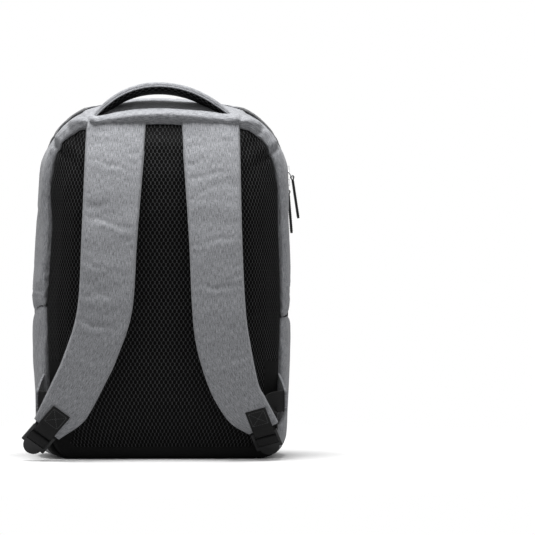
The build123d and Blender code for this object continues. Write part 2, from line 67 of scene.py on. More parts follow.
# ---------------------------------------------------------------- dimensions from the frame
ZIP_LOW = box_mm("main_zip_rear_tape")[0][1]
ZIP_HIGH = box_mm("main_zip_front_tape")[1][1]
ZIP_Y = (ZIP_LOW + ZIP_HIGH) / 2
BODY_HALF = box_mm("rear_gusset")[1][0]
BODY_TOP = box_mm("rear_gusset")[1][2]
SEAM_Z = box_mm("rear_gusset")[0][2]
REAR_Y = box_mm("rear_gusset")[0][1]
FRONT_Y = box_mm("front_gusset")[1][1]
BAND_LOW, BAND_TOP = box_mm("panel_band")[0][2], box_mm("solar_cover")[0][2]
POCKET_TOP = box_mm("front_pocket_panel")[1][2]
POCKET_ZIP_Z = sum(box_mm("pocket_zip_coils")[k][2] for k in (0, 1)) / 2
JOINT = {j["name"]: j for j in frame["joints"]}
FABRIC_T = 2.2  # the shell's fabric with its foam


def pivot_mm(joint):
    return np.array(JOINT[joint]["pos_m"]) / MM


# ---------------------------------------------------------------- materials
MATERIALS = {}


class Nodes:
    """A thin helper over one material's node tree."""

    def __init__(self, name):
        self.material = bpy.data.materials.new(name)
        self.material.use_nodes = True
        self.tree = self.material.node_tree
        self.shader = self.tree.nodes["Principled BSDF"]
        MATERIALS[name] = self.material

    def add(self, kind, inputs=None, **settings):
        node = self.tree.nodes.new(kind)
        for key, value in settings.items():
            setattr(node, key, value)
        for key, value in (inputs or {}).items():
            socket = node.inputs[key]
            if isinstance(value, bpy.types.NodeSocket):
                self.tree.links.new(value, socket)
            else:
                socket.default_value = value
        return node

    def math(self, operation, a, b):
        return self.add("ShaderNodeMath", {0: a, 1: b}, operation=operation).outputs[0]

    def total(self, *parts):
        """The sum of value times share over (value, share) pairs."""
        terms = [self.math("MULTIPLY", *part) for part in parts]
        while len(terms) > 1:
            terms[:2] = [self.math("ADD", *terms[:2])]
        return terms[0]

    def vector(self, operation, *inputs):
        node = self.add("ShaderNodeVectorMath", dict(enumerate(inputs)), operation=operation)
        return node.outputs["Value" if operation == "LENGTH" else "Vector"]

    def span(self, value, low=0.0, high=1.0, to_low=0.0, to_high=1.0, kind="LINEAR"):
        """Maps low..high to to_low..to_high."""
        return self.add("ShaderNodeMapRange", {0: value, 1: low, 2: high, 3: to_low, 4: to_high},
                        interpolation_type=kind).outputs[0]

    def wave(self, across, along, direction):
        return self.add("ShaderNodeTexWave", {"Vector": self.uv(across, along), "Scale": 1.0},
                        bands_direction=direction).outputs["Fac"]

    def weave(self, pitch):
        return self.math("MULTIPLY", self.wave(pitch, 1.0, "X"), self.wave(1.0, pitch, "Y"))

    def uv(self, across, along, shift=(0.0, 0.0)):
        """UV in metres, divided so that one unit is across by along metres."""
        source = self.add("ShaderNodeUVMap").outputs[0]
        return self.add("ShaderNodeMapping", {0: source, 1: (shift[0], shift[1], 0.0),
                                              3: (1 / across, 1 / along, 1.0)}).outputs[0]

    def place(self, scale):
        """Object coordinates, for what has no UV."""
        source = self.add("ShaderNodeTexCoord").outputs["Object"]
        return self.add("ShaderNodeMapping", {0: source, 3: (scale, scale, scale)}).outputs[0]

    def noise(self, vector, detail=2.0, roughness=0.5):
        return self.add("ShaderNodeTexNoise", {"Vector": vector, "Scale": 1.0, "Detail": detail,
                                               "Roughness": roughness}).outputs["Fac"]

    def ramp(self, factor, *stops):
        ramp = self.add("ShaderNodeValToRGB", {0: factor})
        elements = ramp.color_ramp.elements
        while len(elements) < len(stops):
            elements.new(0.5)
        for element, (place, colour) in zip(elements, stops):
            element.position = place
            element.color = (*colour, 1.0)
        return ramp.outputs[0]

    def bump(self, height, strength, distance):
        return self.add("ShaderNodeBump", {"Strength": strength, "Distance": distance, "Height": height}).outputs[0]

    def out(self, colour=None, normal=None, roughness=None, **constants):
        links = {"Base Color": colour, "Normal": normal, "Roughness": roughness}
        for key, value in links.items():
            if isinstance(value, bpy.types.NodeSocket):
                self.tree.links.new(value, self.shader.inputs[key])
            elif value is not None:
                self.shader.inputs[key].default_value = value
        for key, value in constants.items():
            self.shader.inputs[key.replace("_", " ")].default_value = value
        return self.material


def grey(value, blue=1.0):
    return (value, value * (1 + (blue - 1) * 0.25), value * blue)


def melange(name, dark, light):
    """Heather polyester: pale and dark yarns in short streaks along V over a fine plain weave."""
    n = Nodes(name)
    streak = n.noise(n.uv(0.00075, 0.007), 3.0, 0.65)
    fine = n.noise(n.uv(0.0004, 0.0016, (3.1, 7.7)), 2.0, 0.6)
    weft = n.noise(n.uv(0.006, 0.0006, (5.0, 2.0)), 2.0, 0.6)
    mix = n.total((streak, 0.55), (fine, 0.32), (weft, 0.13))
    middle = (dark + light) / 2
    colour = n.ramp(mix, (0.34, grey(dark, 1.10)), (0.5, grey(middle, 1.08)), (0.66, grey(light, 1.06)))
    height = n.total((n.weave(0.0016), 0.5), (mix, 0.8))
    return n.out(colour, n.bump(height, 0.4, 0.0004), 0.88, Sheen_Weight=0.06, Sheen_Roughness=0.6,
                 Specular_IOR_Level=0.12)


def air_mesh(name):
    """Black spacer mesh: staggered oval holes between threads that catch a little light."""
    n = Nodes(name)
    pitch_u, pitch_v = 0.0052, 0.0084
    distance = None
    for shift in ((0.0, 0.0), (0.5, 0.5)):
        centred = n.vector("SUBTRACT", n.vector("FRACTION", n.uv(pitch_u, pitch_v, shift)), (0.5, 0.5, 0.0))
        length = n.vector("LENGTH", n.vector("MULTIPLY", centred, (1.0, 1.25, 0.0)))
        distance = length if distance is None else n.math("MINIMUM", distance, length)
    thread = n.span(distance, 0.31, 0.41, kind="SMOOTHSTEP")
    yarn = n.noise(n.uv(0.0006, 0.0012), 2.0)
    tone = n.math("MULTIPLY", thread, n.math("ADD", n.math("MULTIPLY", yarn, 0.7), 0.6))
    colour = n.ramp(tone, (0.0, grey(0.0002)), (0.45, grey(0.0012)), (1.0, grey(0.036, 1.05)))
    return n.out(colour, n.bump(tone, 1.0, 0.0032), 0.6, Specular_IOR_Level=0.05)


def plain_weave(name, tone, pitch=0.0012):
    """A plain woven cloth, for linings, tapes and black panels."""
    n = Nodes(name)
    weave = n.weave(pitch * 2)
    cloud = n.noise(n.uv(0.004, 0.004), 3.0)
    colour = n.ramp(n.total((weave, 0.5), (cloud, 0.5)), (0.2, grey(tone * 0.6, 1.03)), (0.8, grey(tone * 1.3, 1.03)))
    return n.out(colour, n.bump(weave, 0.5, 0.0003), 0.8, Specular_IOR_Level=0.08)


def webbing(name, tone):
    """Ribbed webbing: fine ribs across V and a few lengthwise cords."""
    n = Nodes(name)
    fuzz = n.noise(n.uv(0.0005, 0.0012), 2.0)
    height = n.total((n.wave(1.0, 0.0026, "Y"), 0.6), (n.wave(0.0072, 1.0, "X"), 0.3))
    colour = n.ramp(n.total((height, 0.7), (fuzz, 0.3)), (0.15, grey(tone * 0.45, 1.03)), (0.9, grey(tone * 1.5, 1.03)))
    return n.out(colour, n.bump(height, 0.7, 0.0005), 0.6, Specular_IOR_Level=0.12)


def leather(name, tone):
    n = Nodes(name)
    at = n.place(1 / 0.0011)
    cells = n.add("ShaderNodeTexVoronoi", {"Vector": at, "Scale": 1.0}, feature="DISTANCE_TO_EDGE").outputs["Distance"]
    crease = n.noise(n.place(1 / 0.006), 3.0)
    height = n.math("ADD", n.math("MINIMUM", cells, 0.25), n.math("MULTIPLY", crease, 0.3))
    colour = n.ramp(crease, (0.3, grey(tone * 0.75, 1.03)), (0.7, grey(tone * 1.3, 1.03)))
    return n.out(colour, n.bump(height, 0.35, 0.0003), 0.5, Specular_IOR_Level=0.25)


def plastic(name, tone, rough=0.45):
    n = Nodes(name)
    speckle = n.noise(n.place(1 / 0.0007), 2.0)
    wear = n.noise(n.place(1 / 0.011), 3.0)
    colour = n.ramp(wear, (0.35, grey(tone * 0.85, 1.05)), (0.7, grey(tone * 1.15, 1.04)))
    gloss = n.span(wear, to_low=rough - 0.06, to_high=rough + 0.10)
    return n.out(colour, n.bump(speckle, 0.12, 0.0002), gloss, Specular_IOR_Level=0.22)


def metal(name, tone, rough):
    n = Nodes(name)
    brushed = n.noise(n.place(1 / 0.0022), 3.0)
    colour = n.ramp(brushed, (0.3, grey(tone * 0.9, 1.02)), (0.7, grey(tone, 1.02)))
    gloss = n.span(brushed, to_low=rough - 0.05, to_high=rough + 0.12)
    return n.out(colour, n.bump(brushed, 0.05, 0.0002), gloss, Metallic=1.0)


def solar_film(name, tone):
    """The panel's matt top sheet: a fine textured film with a soft gloss."""
    n = Nodes(name)
    dimple = n.noise(n.uv(0.0008, 0.0008), 1.0)
    cloud = n.noise(n.uv(0.05, 0.05), 2.0)
    colour = n.ramp(cloud, (0.3, grey(tone * 0.9, 1.06)), (0.7, grey(tone * 1.1, 1.05)))
    return n.out(colour, n.bump(dimple, 0.12, 0.0002), 0.42, Coat_Weight=0.12, Coat_Roughness=0.35)


def solar_cell(name):
    """Dark cell: a blue-black wafer with fine silver fingers, under a clear film."""
    n = Nodes(name)
    line = n.span(n.wave(1.0, 0.0052, "Y"), 0.96, 0.995)
    cloud = n.noise(n.uv(0.03, 0.03), 2.0)
    wafer = n.ramp(cloud, (0.3, (0.008, 0.010, 0.020)), (0.7, (0.014, 0.017, 0.034)))
    colour = n.add("ShaderNodeMix", {0: line, 6: wafer, 7: (0.06, 0.065, 0.075, 1.0)}, data_type="RGBA").outputs[2]
    return n.out(colour, None, 0.3, Coat_Weight=0.5, Coat_Roughness=0.15)


MATERIAL_TABLE = (
    (melange, {"heather": (0.025, 0.238), "heather_trim": (0.055, 0.28)}),
    (air_mesh, {"spacer_mesh": ()}),
    (plain_weave, {"black_cloth": (0.0045,), "lining_cloth": (0.10, 0.0010), "tape_cloth": (0.0055, 0.0009)}),
    (webbing, {"black_webbing": (0.0065,)}),
    (leather, {"pull_leather": (0.010,)}),
    (plastic, {"buckle_plastic": (0.011,), "coil_plastic": (0.016, 0.35), "silver_coil": (0.22, 0.35),
               "board_plastic": (0.05, 0.6), "case_plastic": (0.02, 0.4), "thread": (0.045, 0.7),
               "lead_rubber": (0.015, 0.5)}),
    (metal, {"nickel": (0.82, 0.18), "plated_steel": (0.55, 0.3), "busbar": (0.22, 0.45)}),
    (solar_film, {"top_sheet": (0.050,)}),
    (solar_cell, {"cell": ()}),
)


def make_materials():
    for make, rows in MATERIAL_TABLE:
        for name, numbers in rows.items():
            make(name, *numbers)


# ---------------------------------------------------------------- mesh helpers
def add_object(name, data):
    thing = bpy.data.objects.new(name, data)
    bpy.context.scene.collection.objects.link(thing)
    return thing


def new_object(name, mesh, materials):
    thing = add_object(name, mesh)
    for material in materials if isinstance(materials, (list, tuple)) else [materials]:
        mesh.materials.append(MATERIALS[material])
    for polygon in mesh.polygons:
        polygon.use_smooth = True
    return thing


def uv_rows(across, along):
    """UVs in mm for a grid whose rows lie at the distances across and whose columns at the distances along."""
    return np.stack(np.broadcast_arrays(np.asarray(across)[:, None], along[None, :]), -1)


def grid_object(name, points, uv, materials, close=False):
    """A sheet of quads from points[row][column] in mm, with UVs in mm on the same grid."""
    points, uv = np.asarray(points, float), np.asarray(uv, float)
    mesh = bpy.data.meshes.new(name)
    index = np.arange(points[..., 0].size).reshape(points.shape[:2])
    if close:
        index = np.concatenate([index, index[:, :1]], 1)
        uv = np.concatenate([uv, 2 * uv[:, -1:] - uv[:, -2:-1]], 1)
    corners = np.stack([index[:-1, :-1], index[:-1, 1:], index[1:, 1:], index[1:, :-1]], -1).reshape(-1, 4)
    spots = np.stack([uv[:-1, :-1], uv[:-1, 1:], uv[1:, 1:], uv[1:, :-1]], 2).reshape(-1, 2)
    mesh.from_pydata((points.reshape(-1, 3) * MM).tolist(), [], corners.tolist())
    layer = mesh.uv_layers.new(name="UVMap")
    layer.data.foreach_set("uv", (spots * MM).astype(np.float32).ravel())
    return new_object(name, mesh, materials)


def edit(thing, work):
    bm = bmesh.new()
    bm.from_mesh(thing.data)
    work(bm)
    bm.to_mesh(thing.data)
    bm.free()
    thing.data.update()
    return thing


def reverse(thing):
    return edit(thing, lambda bm: bmesh.ops.reverse_faces(bm, faces=bm.faces[:]))


def face_out(thing):
    """Turns a closed piece's faces outward."""
    return edit(thing, lambda bm: bmesh.ops.recalc_face_normals(bm, faces=bm.faces[:]))


def keep_side(thing, place, normal):
    """Cuts the mesh by a plane in mm and drops what lies on the normal's side."""
    def work(bm):
        geometry = bm.verts[:] + bm.edges[:] + bm.faces[:]
        bmesh.ops.bisect_plane(bm, geom=geometry, dist=1e-6, plane_co=Vector(place) * MM, plane_no=Vector(normal),
                               clear_outer=True)
    return edit(thing, work)


def face_away(thing):
    """Turns the sheet so that its faces look away from the bag's middle."""
    total = 0.0
    for face in thing.data.polygons:
        total += face.normal.dot(face.center - Vector((0, 0, 0.2))) * face.area
    return thing if total >= 0 else reverse(thing)


def points_of(thing):
    return np.array([v.co for v in thing.data.vertices])


def set_points(thing, points):
    thing.data.vertices.foreach_set("co", points.astype(np.float32).ravel())
    thing.data.update()
    return thing


def move(thing, shift):
    """Moves each vertex by shift(x, y, z) in mm."""
    start = points_of(thing)
    return set_points(thing, start + np.array([shift(*(p / MM)) for p in start]) * MM)


def displace(thing, amount, weight=1.0):
    """Moves each vertex along its normal by amount(x, y, z) in mm, times its weight."""
    start = points_of(thing)
    normals = np.array([v.normal for v in thing.data.vertices])
    by = np.array([amount(*(p / MM)) for p in start]) * weight
    return set_points(thing, start + normals * by[:, None] * MM)


def modifier(thing, kind, **settings):
    added = thing.modifiers.new(kind.lower(), kind)
    for key, value in settings.items():
        setattr(added, key, value)
    return added


def apply_modifiers(thing):
    evaluated = thing.evaluated_get(bpy.context.evaluated_depsgraph_get())
    mesh = bpy.data.meshes.new_from_object(evaluated)
    thing.modifiers.clear()
    thing.data = mesh
    return thing


def thicken(thing, thickness, inner=None):
    """Gives the sheet its thickness in mm, inwards, with another material inside if one is named."""
    solid = modifier(thing, "SOLIDIFY", thickness=thickness * MM, offset=-1.0, use_even_offset=False)
    if inner is not None:
        thing.data.materials.append(MATERIALS[inner])
        solid.material_offset = len(thing.data.materials) - 1
    return apply_modifiers(thing)


def boundary(thing):
    """Indices of the sheet's edge vertices."""
    found = set()
    bm = bmesh.new()
    bm.from_mesh(thing.data)
    for edge in bm.edges:
        if edge.is_boundary:
            found.update(v.index for v in edge.verts)
    bm.free()
    return sorted(found)


CLOTH_FRAMES = 14


def simulate(thing, pressure, growth, cap):
    """Blows the sewn sheet out between its seams with Cloth, then keeps each point within cap mm of where it was."""
    rest = points_of(thing)
    thing.vertex_groups.new(name="seam").add(boundary(thing), 1.0, "REPLACE")
    cloth = modifier(thing, "CLOTH")
    settings = cloth.settings
    settings.vertex_group_mass = "seam"
    settings.quality = 5
    settings.mass = 0.2
    settings.tension_stiffness = settings.compression_stiffness = 12
    settings.shear_stiffness = 4
    settings.bending_stiffness = 0.35
    settings.shrink_min = -growth
    settings.use_pressure = True
    settings.uniform_pressure_force = pressure
    settings.effector_weights.gravity = 0.0
    scene = bpy.context.scene
    for number in range(1, CLOTH_FRAMES + 1):
        scene.frame_set(number)
    evaluated = thing.evaluated_get(bpy.context.evaluated_depsgraph_get())
    moved = points_of(evaluated)
    thing.modifiers.clear()
    thing.vertex_groups.clear()
    step = moved - rest
    length = np.linalg.norm(step, axis=1, keepdims=True)
    scene.frame_set(1)
    return set_points(thing, rest + step * np.minimum(1.0, cap * MM / np.maximum(length, 1e-9)))


def smooth_step(v, low, high):
    t = min(max((v - low) / (high - low), 0.0), 1.0)
    return t * t * (3 - 2 * t)


def bell(off, width):
    """1 at the middle, falling to nothing at about twice the width."""
    return math.exp(-((off / width) ** 2))


def noise_at(x, y, z):
    return noise.noise(Vector((x, y, z)))


def ripple(x, y, z, size, amount, seed=0.0):
    """Soft random swell in mm, about size mm across."""
    return amount * noise_at(x / size + seed, y / size, z / size)


# ---------------------------------------------------------------- the shell's outline
def arc_through(a, b, c, count):
    (ax, az), (bx, bz), (cx, cz) = a, b, c
    d = 2 * (ax * (bz - cz) + bx * (cz - az) + cx * (az - bz))
    ux = ((ax**2 + az**2) * (bz - cz) + (bx**2 + bz**2) * (cz - az) + (cx**2 + cz**2) * (az - bz)) / d
    uz = ((ax**2 + az**2) * (cx - bx) + (bx**2 + bz**2) * (ax - cx) + (cx**2 + cz**2) * (bx - ax)) / d
    start, end = math.atan2(az - uz, ax - ux), math.atan2(cz - uz, cx - ux)
    radius = math.hypot(ax - ux, az - uz)
    t = np.linspace(start, end, count)
    return np.stack([ux + radius * np.cos(t), uz + radius * np.sin(t)], 1)


def unit_rows(v):
    return v / np.maximum(np.linalg.norm(v, axis=-1, keepdims=True), 1e-9)


def lengths(path):
    """The length of the path up to each of its points."""
    return np.concatenate([[0], np.cumsum(np.linalg.norm(np.diff(path, axis=0), axis=1))])


def read_rows(at, s, rows):
    """The rows, which lie at the lengths s, read at the lengths at."""
    return np.stack([np.interp(at, s, rows[:, k]) for k in range(rows.shape[1])], -1)


def even(points, count):
    """The same path with count points at even distances, and those distances."""
    points = np.asarray(points, float)
    s = lengths(points)
    t = np.linspace(0, s[-1], count)
    return read_rows(t, s, points), t


CORNER_X, CORNER_Z, CORNER_R = 63.4, 338.8, 86.0
CORNER_END = math.radians(66.3)
LEFT_TAPER = 6.8  # how far the stuffed shell leans in at its upper left


def arch(count):
    """The shell's outline at its widest, as x and z, from the base's middle round by +X; and the length so far."""
    turn = np.linspace(0, CORNER_END, 24)
    corner = np.stack([CORNER_X + CORNER_R * np.cos(turn), CORNER_Z + CORNER_R * np.sin(turn)], 1)
    right = np.concatenate([[[0, 0]], arc_through((118, 0), (139.5, 8), (147, 30), 12), [[BODY_HALF, 190]], corner,
                            arc_through(corner[-1], (0, BODY_TOP), (-corner[-1][0], corner[-1][1]), 41)[1:21]])
    left = right[::-1] * [-1, 1]
    taper = [LEFT_TAPER * smooth_step(z, 283, 348) * smooth_step(-x, 30, 105) for x, z in left]
    left = left + np.stack([taper, np.zeros(len(left))], 1)
    return even(np.concatenate([right, left[1:]]), count)


def smooth_rows(sections, count, blur=0.02):
    """Sections of y, half width, bottom and top, resampled evenly with their corners softened."""
    sections = np.asarray(sections, float)
    s = lengths(sections[:, :2])
    t = np.linspace(0, 1, count)
    total = np.zeros((count, sections.shape[1]))
    shifts = np.linspace(-blur, blur, 7)
    for shift in shifts:
        near = np.minimum(1.0, np.minimum(t, 1 - t) / blur)
        total += read_rows((t + shift * near) * s[-1], s, sections)
    return total / len(shifts), t * s[-1]


def loft(outline, profile):
    """The outline at every section of the profile, as points[section][around]."""
    y, half, bottom, top = (profile[:, k, None] for k in range(4))
    x = outline[None, :, 0] * half / BODY_HALF
    z = bottom + outline[None, :, 1] * (top - bottom) / BODY_TOP
    return np.stack([x, np.broadcast_to(y, x.shape), z], -1)


def shell_sheet(name, sections, materials, around=240, rows=30, blur=0.02):
    """A band of the shell: its outline lofted through the sections. U is across the band and V along the outline."""
    outline, length = arch(around)
    profile, depth = smooth_rows(sections, rows, blur)
    return face_away(grid_object(name, loft(outline, profile), uv_rows(depth, length), materials))


def dome_sheet(name, sections, materials, around=200, rows=30, blur=0.03):
    """A domed panel: shrinking outlines down to its middle. UVs are flat x and z, let out down the sides."""
    outline = arch(around)[0][:-1]
    profile = smooth_rows(sections, rows, blur)[0]
    last = profile[-1]
    fill = np.linspace(1, 0.02, 12)[1:]
    middle = (last[2] + last[3]) / 2
    centre = [[last[0], last[1] * f, middle + (last[2] - middle) * f, middle + (last[3] - middle) * f] for f in fill]
    points = loft(outline, np.concatenate([profile, centre]))
    thing = grid_object(name, points, points[..., ::2], materials, close=True)

    def work(bm):
        layer = bm.loops.layers.uv.active
        for face in bm.faces:
            for loop in face.loops:
                p = loop.vert.co
                out = 1 + 0.35 * abs(p.y / MM - last[0]) / max(abs(last[0] - profile[0][0]), 1e-6)
                loop[layer].uv = (p.x * out, p.z)
        rim = [e for e in bm.edges if e.is_boundary and all(abs(v.co.y / MM - last[0]) < 0.5 for v in e.verts)]
        bmesh.ops.contextual_create(bm, geom=rim)
        for face in bm.faces:
            if len(face.verts) > 4:
                for loop in face.loops:
                    loop[layer].uv = (loop.vert.co.x, loop.vert.co.z)
    return face_away(edit(thing, work))


def place(thing, body, *nodes, slot=None):
    """Rides a finished piece on a body and hides the nodes that it stands for. The slot is not used."""
    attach(thing, body)
    return stand_for(thing, nodes)


def stand_for(thing, nodes):
    if nodes:
        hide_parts(*nodes)
    return thing


def fold_over(thing, body, *nodes, slot=None):
    """A piece that crosses the flap's fold: its transform is baked in where it stands and it hides the nodes that it
    stands for.
    """
    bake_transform(thing)
    return stand_for(thing, nodes)


# ---------------------------------------------------------------- the shell's fabric
REAR_ROLL = [(-55.0, 137.0, 6.0, 397.0), (-59.5, 138.5, 3.0, 398.0), (-62.0, 140.5, 1.5, 401.5),
             (-60.5, 143.0, 0.6, 407.0), (-54.0, 145.5, 0.2, 412.0), (-42.0, 148.0, 0.0, 415.5),
             (-30.0, 150.0, 0.0, 419.0), (-14.0, 151.8, 0.0, 423.8), (0.0, 152.9, 0.0, 427.2)]
ZIP_EDGE_REAR = [(ZIP_LOW + 0.6, 152.6, 0.4, 427.4), (ZIP_LOW + 0.4, 151.0, 2.0, 425.6)]
ZIP_EDGE_FRONT = [(ZIP_HIGH - 0.4, 151.0, 2.0, 425.6), (ZIP_HIGH - 0.6, 152.6, 0.4, 427.4)]
FRONT_ROLL = [(24.0, 152.9, 0.0, 427.6), (36.0, 152.0, 0.0, 426.2), (48.0, 151.0, 0.0, 423.5),
              (54.5, 149.6, 0.4, 419.0), (57.5, 147.5, 2.5, 414.5), (57.2, 145.0, 5.0, 411.0)]


def gusset_swell(rear, front, amount):
    """Puff between two y seams, with soft ripples that die out at them."""
    def swell(x, y, z):
        t = min(max((y - rear) / (front - rear), 0.0), 1.0)
        hill = math.sin(math.pi * t) ** 0.6
        return hill * (amount + ripple(x, y, z, 46, 1.3) + ripple(x, y, z, 17, 0.35, 5.0))
    return swell


def shoulder_dip(x, y, z):
    """The rear fabric lies a little lower than the zip round the shoulders, so the zip shows from behind."""
    round_part = smooth_step(z, 362, 384) * smooth_step(abs(x), 55, 80)
    return 2.1 * smooth_step(y, -20, 1) * round_part


def rear_gusset():
    def refine(bm):
        """Finer quads round the back opening, where the folds are, and none near the zip."""
        edges = [e for e in bm.edges if all(v.co.y < -22 * MM for v in e.verts)]
        bmesh.ops.subdivide_edges(bm, edges=edges, cuts=1, use_grid_fill=True)

    sheet = shell_sheet("rear_gusset_fabric", REAR_ROLL + ZIP_EDGE_REAR, "heather", 300, 44)
    keep_side(sheet, (0, 0, SEAM_Z), (0, 0, -1))
    simulate(sheet, 1.6, 0.012, 3.5)
    edit(sheet, refine)
    swell = gusset_swell(REAR_Y, ZIP_LOW, 0.6)
    displace(sheet, lambda x, y, z: swell(x, y, z) - shoulder_dip(x, y, z) - seam_dip(z, SEAM_Z, 4.0, 1.6))
    move(sheet, yoke)
    move(sheet, opening_shape)
    move(sheet, seam_rise)
    thicken(sheet, FABRIC_T, inner="lining_cloth")
    place(sheet, "bag", "rear_gusset", slot="melange_fabric")


def seam_rise(x, y, z):
    """The left side seam climbs a little towards the back."""
    if x > 0:
        return 0.0, 0.0, 0.0
    return 0.0, 0.0, 13.0 * smooth_step(-y, -5, 50) * bell(z - SEAM_Z, 45)


def seam_dip(z, seam, width, depth):
    """How deep a seam pulls the fabric in."""
    return depth * bell(z - seam, width)


def front_gusset():
    sheet = shell_sheet("front_gusset_fabric", ZIP_EDGE_FRONT + FRONT_ROLL, "heather", 300, 26)
    keep_side(sheet, (0, 0, SEAM_Z), (0, 0, -1))
    simulate(sheet, 1.2, 0.004, 1.4)
    swell = gusset_swell(ZIP_HIGH, FRONT_Y, 0.4)
    displace(sheet, lambda x, y, z: swell(x, y, z) - seam_dip(z, SEAM_Z, 4.0, 1.6))
    thicken(sheet, FABRIC_T, inner="lining_cloth")
    fold_over(sheet, "flap", "front_gusset", "left_gusset_foot", "right_gusset_foot", slot="melange_fabric")


def lower_panels():
    """The side panels below the seam, each one piece of fabric from back to front, and the base."""
    def dark_hem(bm):
        for face in bm.faces:
            p = face.calc_center_median() / MM
            face.material_index = int(p.y < -48 and p.z < 9 + 15 * smooth_step(-p.x, 100, 120))

    sections = REAR_ROLL + [(12.0, 153.0, 0.0, BODY_TOP)] + FRONT_ROLL
    foot, base_top = 112.0, 3
    for side, sign in (("left", -1), ("right", 1)):
        sheet = shell_sheet(f"{side}_side_fabric", sections, ["heather", "black_cloth"], 300, 60)
        keep_side(sheet, (0, 0, SEAM_Z - 0.6), (0, 0, 1))
        keep_side(sheet, (sign * foot, 0, 0), (-sign, 0, 0))
        simulate(sheet, 1.2, 0.010, 3.0)
        swell = gusset_swell(REAR_Y, FRONT_Y, 0.8)
        displace(sheet, lambda x, y, z: swell(x, y, z) * min(1.0, z / 30) - seam_dip(z, SEAM_Z, 3.0, 1.2))
        move(sheet, opening_shape)
        move(sheet, seam_rise)
        edit(sheet, dark_hem)
        thicken(sheet, FABRIC_T)
        place(sheet, "bag", f"{side}_lower_gusset", slot="melange_fabric")
    base = shell_sheet("base_fabric", sections, ["heather", "black_cloth"], 300, 60)
    keep_side(base, (0, 0, base_top), (0, 0, 1))
    for sign in (-1, 1):
        keep_side(base, (sign * (foot - 0.2), 0, 0), (sign, 0, 0))
    edit(base, dark_hem)
    thicken(base, FABRIC_T)
    place(base, "bag", "base_panel", slot="melange_fabric")


# ---------------------------------------------------------------- back pad
def back_pad():
    rim = [(-57.0, 138.0, 2.0, 397.0), (-60.5, 138.5, 1.0, 398.0), (-66.0, 137.0, 4.0, 396.0)]
    crown = [(-77.0, 124.0, 36.0, 374.0), (-84.5, 110.0, 66.0, 336.0), (-88.0, 92.0, 105.0, 292.0)]
    sheet = dome_sheet("back_mesh_pad", rim + crown, ["spacer_mesh", "black_cloth"], 220, 34)

    def lower_corners(bm):
        for face in bm.faces:
            p = face.calc_center_median() / MM
            corner = abs(p.x) > 108 and p.z < 40
            wall = p.y > -76 and p.z < 118 and abs(p.x) > 118
            face.material_index = 1 if corner or wall or p.z < 14 else 0
    edit(sheet, lower_corners)
    move(sheet, lambda x, y, z: tuple(v * smooth_step(y, -86, -62) for v in opening_shape(x, min(y, -60), z)))
    displace(sheet, lambda x, y, z: ripple(x, y, z, 60, 1.2) + ripple(x, y, z, 22, 0.4, 3.0))
    thicken(sheet, 4.0, inner="lining_cloth")
    place(sheet, "bag", "back_pad", slot="air_mesh")


# ---------------------------------------------------------------- zips
def strip_along(name, path, normals, profile, materials):
    """A profile of (across, height, ...) swept along a path. The across direction is +Y for the main zip."""
    points = [path + normals * height + np.array([0, 1, 0]) * across for across, height in profile]
    return grid_object(name, points, uv_rows([p[0] for p in profile], lengths(path)), materials)


def zip_path(count=420):
    """The main zip's line over the shell above the side seam: points on y = 0, and the outward normals."""
    outline = arch(count * 3)[0]
    tangent = np.gradient(outline, axis=0)
    tangent /= np.linalg.norm(tangent, axis=1, keepdims=True)
    normal = np.stack([tangent[:, 1], -tangent[:, 0]], 1)
    keep = outline[:, 1] > SEAM_Z - 2
    lift = lambda a: np.stack([a[keep, 0], np.zeros(keep.sum()), a[keep, 1]], 1)
    return lift(outline), lift(normal)


def main_zip():
    path, normals = zip_path()
    for half, sign in (("rear", -1), ("front", 1)):
        edge = abs(ZIP_HIGH - ZIP_Y)
        tape = [(edge + 1.5, -2.6), (edge - 0.2, -1.6), (edge - 1.2, -1.2), (7.0, -1.1), (6.6, -0.9), (6.2, -1.1),
                (4.6, -1.1), (4.2, -0.5), (3.2, 0.1), (2.0, 0.3), (1.0, 0.2), (0.4, -0.3), (0.25, -1.8)]
        profile = [(ZIP_Y + sign * across, height) for across, height in tape]
        piece = strip_along(f"main_zip_{half}_side", path, normals, profile, "tape_cloth")
        thicken(face_away(piece), 0.6)
        nodes = [f"main_zip_{half}_tape", f"main_zip_{half}_coil"]
        if half == "rear":
            place(piece, "bag", *nodes, slot="zip_tape")
        else:
            fold_over(piece, "flap", *nodes, "main_zip_end_tapes", "main_zip_end_coils", slot="zip_tape")


# ---------------------------------------------------------------- front panel and pocket
FRONT = [(57.0, 147.5, 4.0, 411.0), (60.0, 147.6, 8.0, 408.0), (68.0, 143.0, 28.0, 388.0), (77.0, 134.0, 62.0, 356.0),
         (83.6, 120.0, 100.0, 318.0), (87.4, 100.0, 140.0, 280.0)]


def front_sheet(name, material, low, high, inset=0.0):
    """The part of the front dome between two heights."""
    sections = [(y - inset, half - inset * 0.6, bottom, top) for y, half, bottom, top in FRONT]
    sheet = dome_sheet(name, sections, material, 260, 44)
    for level, way in ((low, -1), (high, 1)):
        if level is not None:
            keep_side(sheet, (0, 0, level), (0, 0, way))
    return sheet


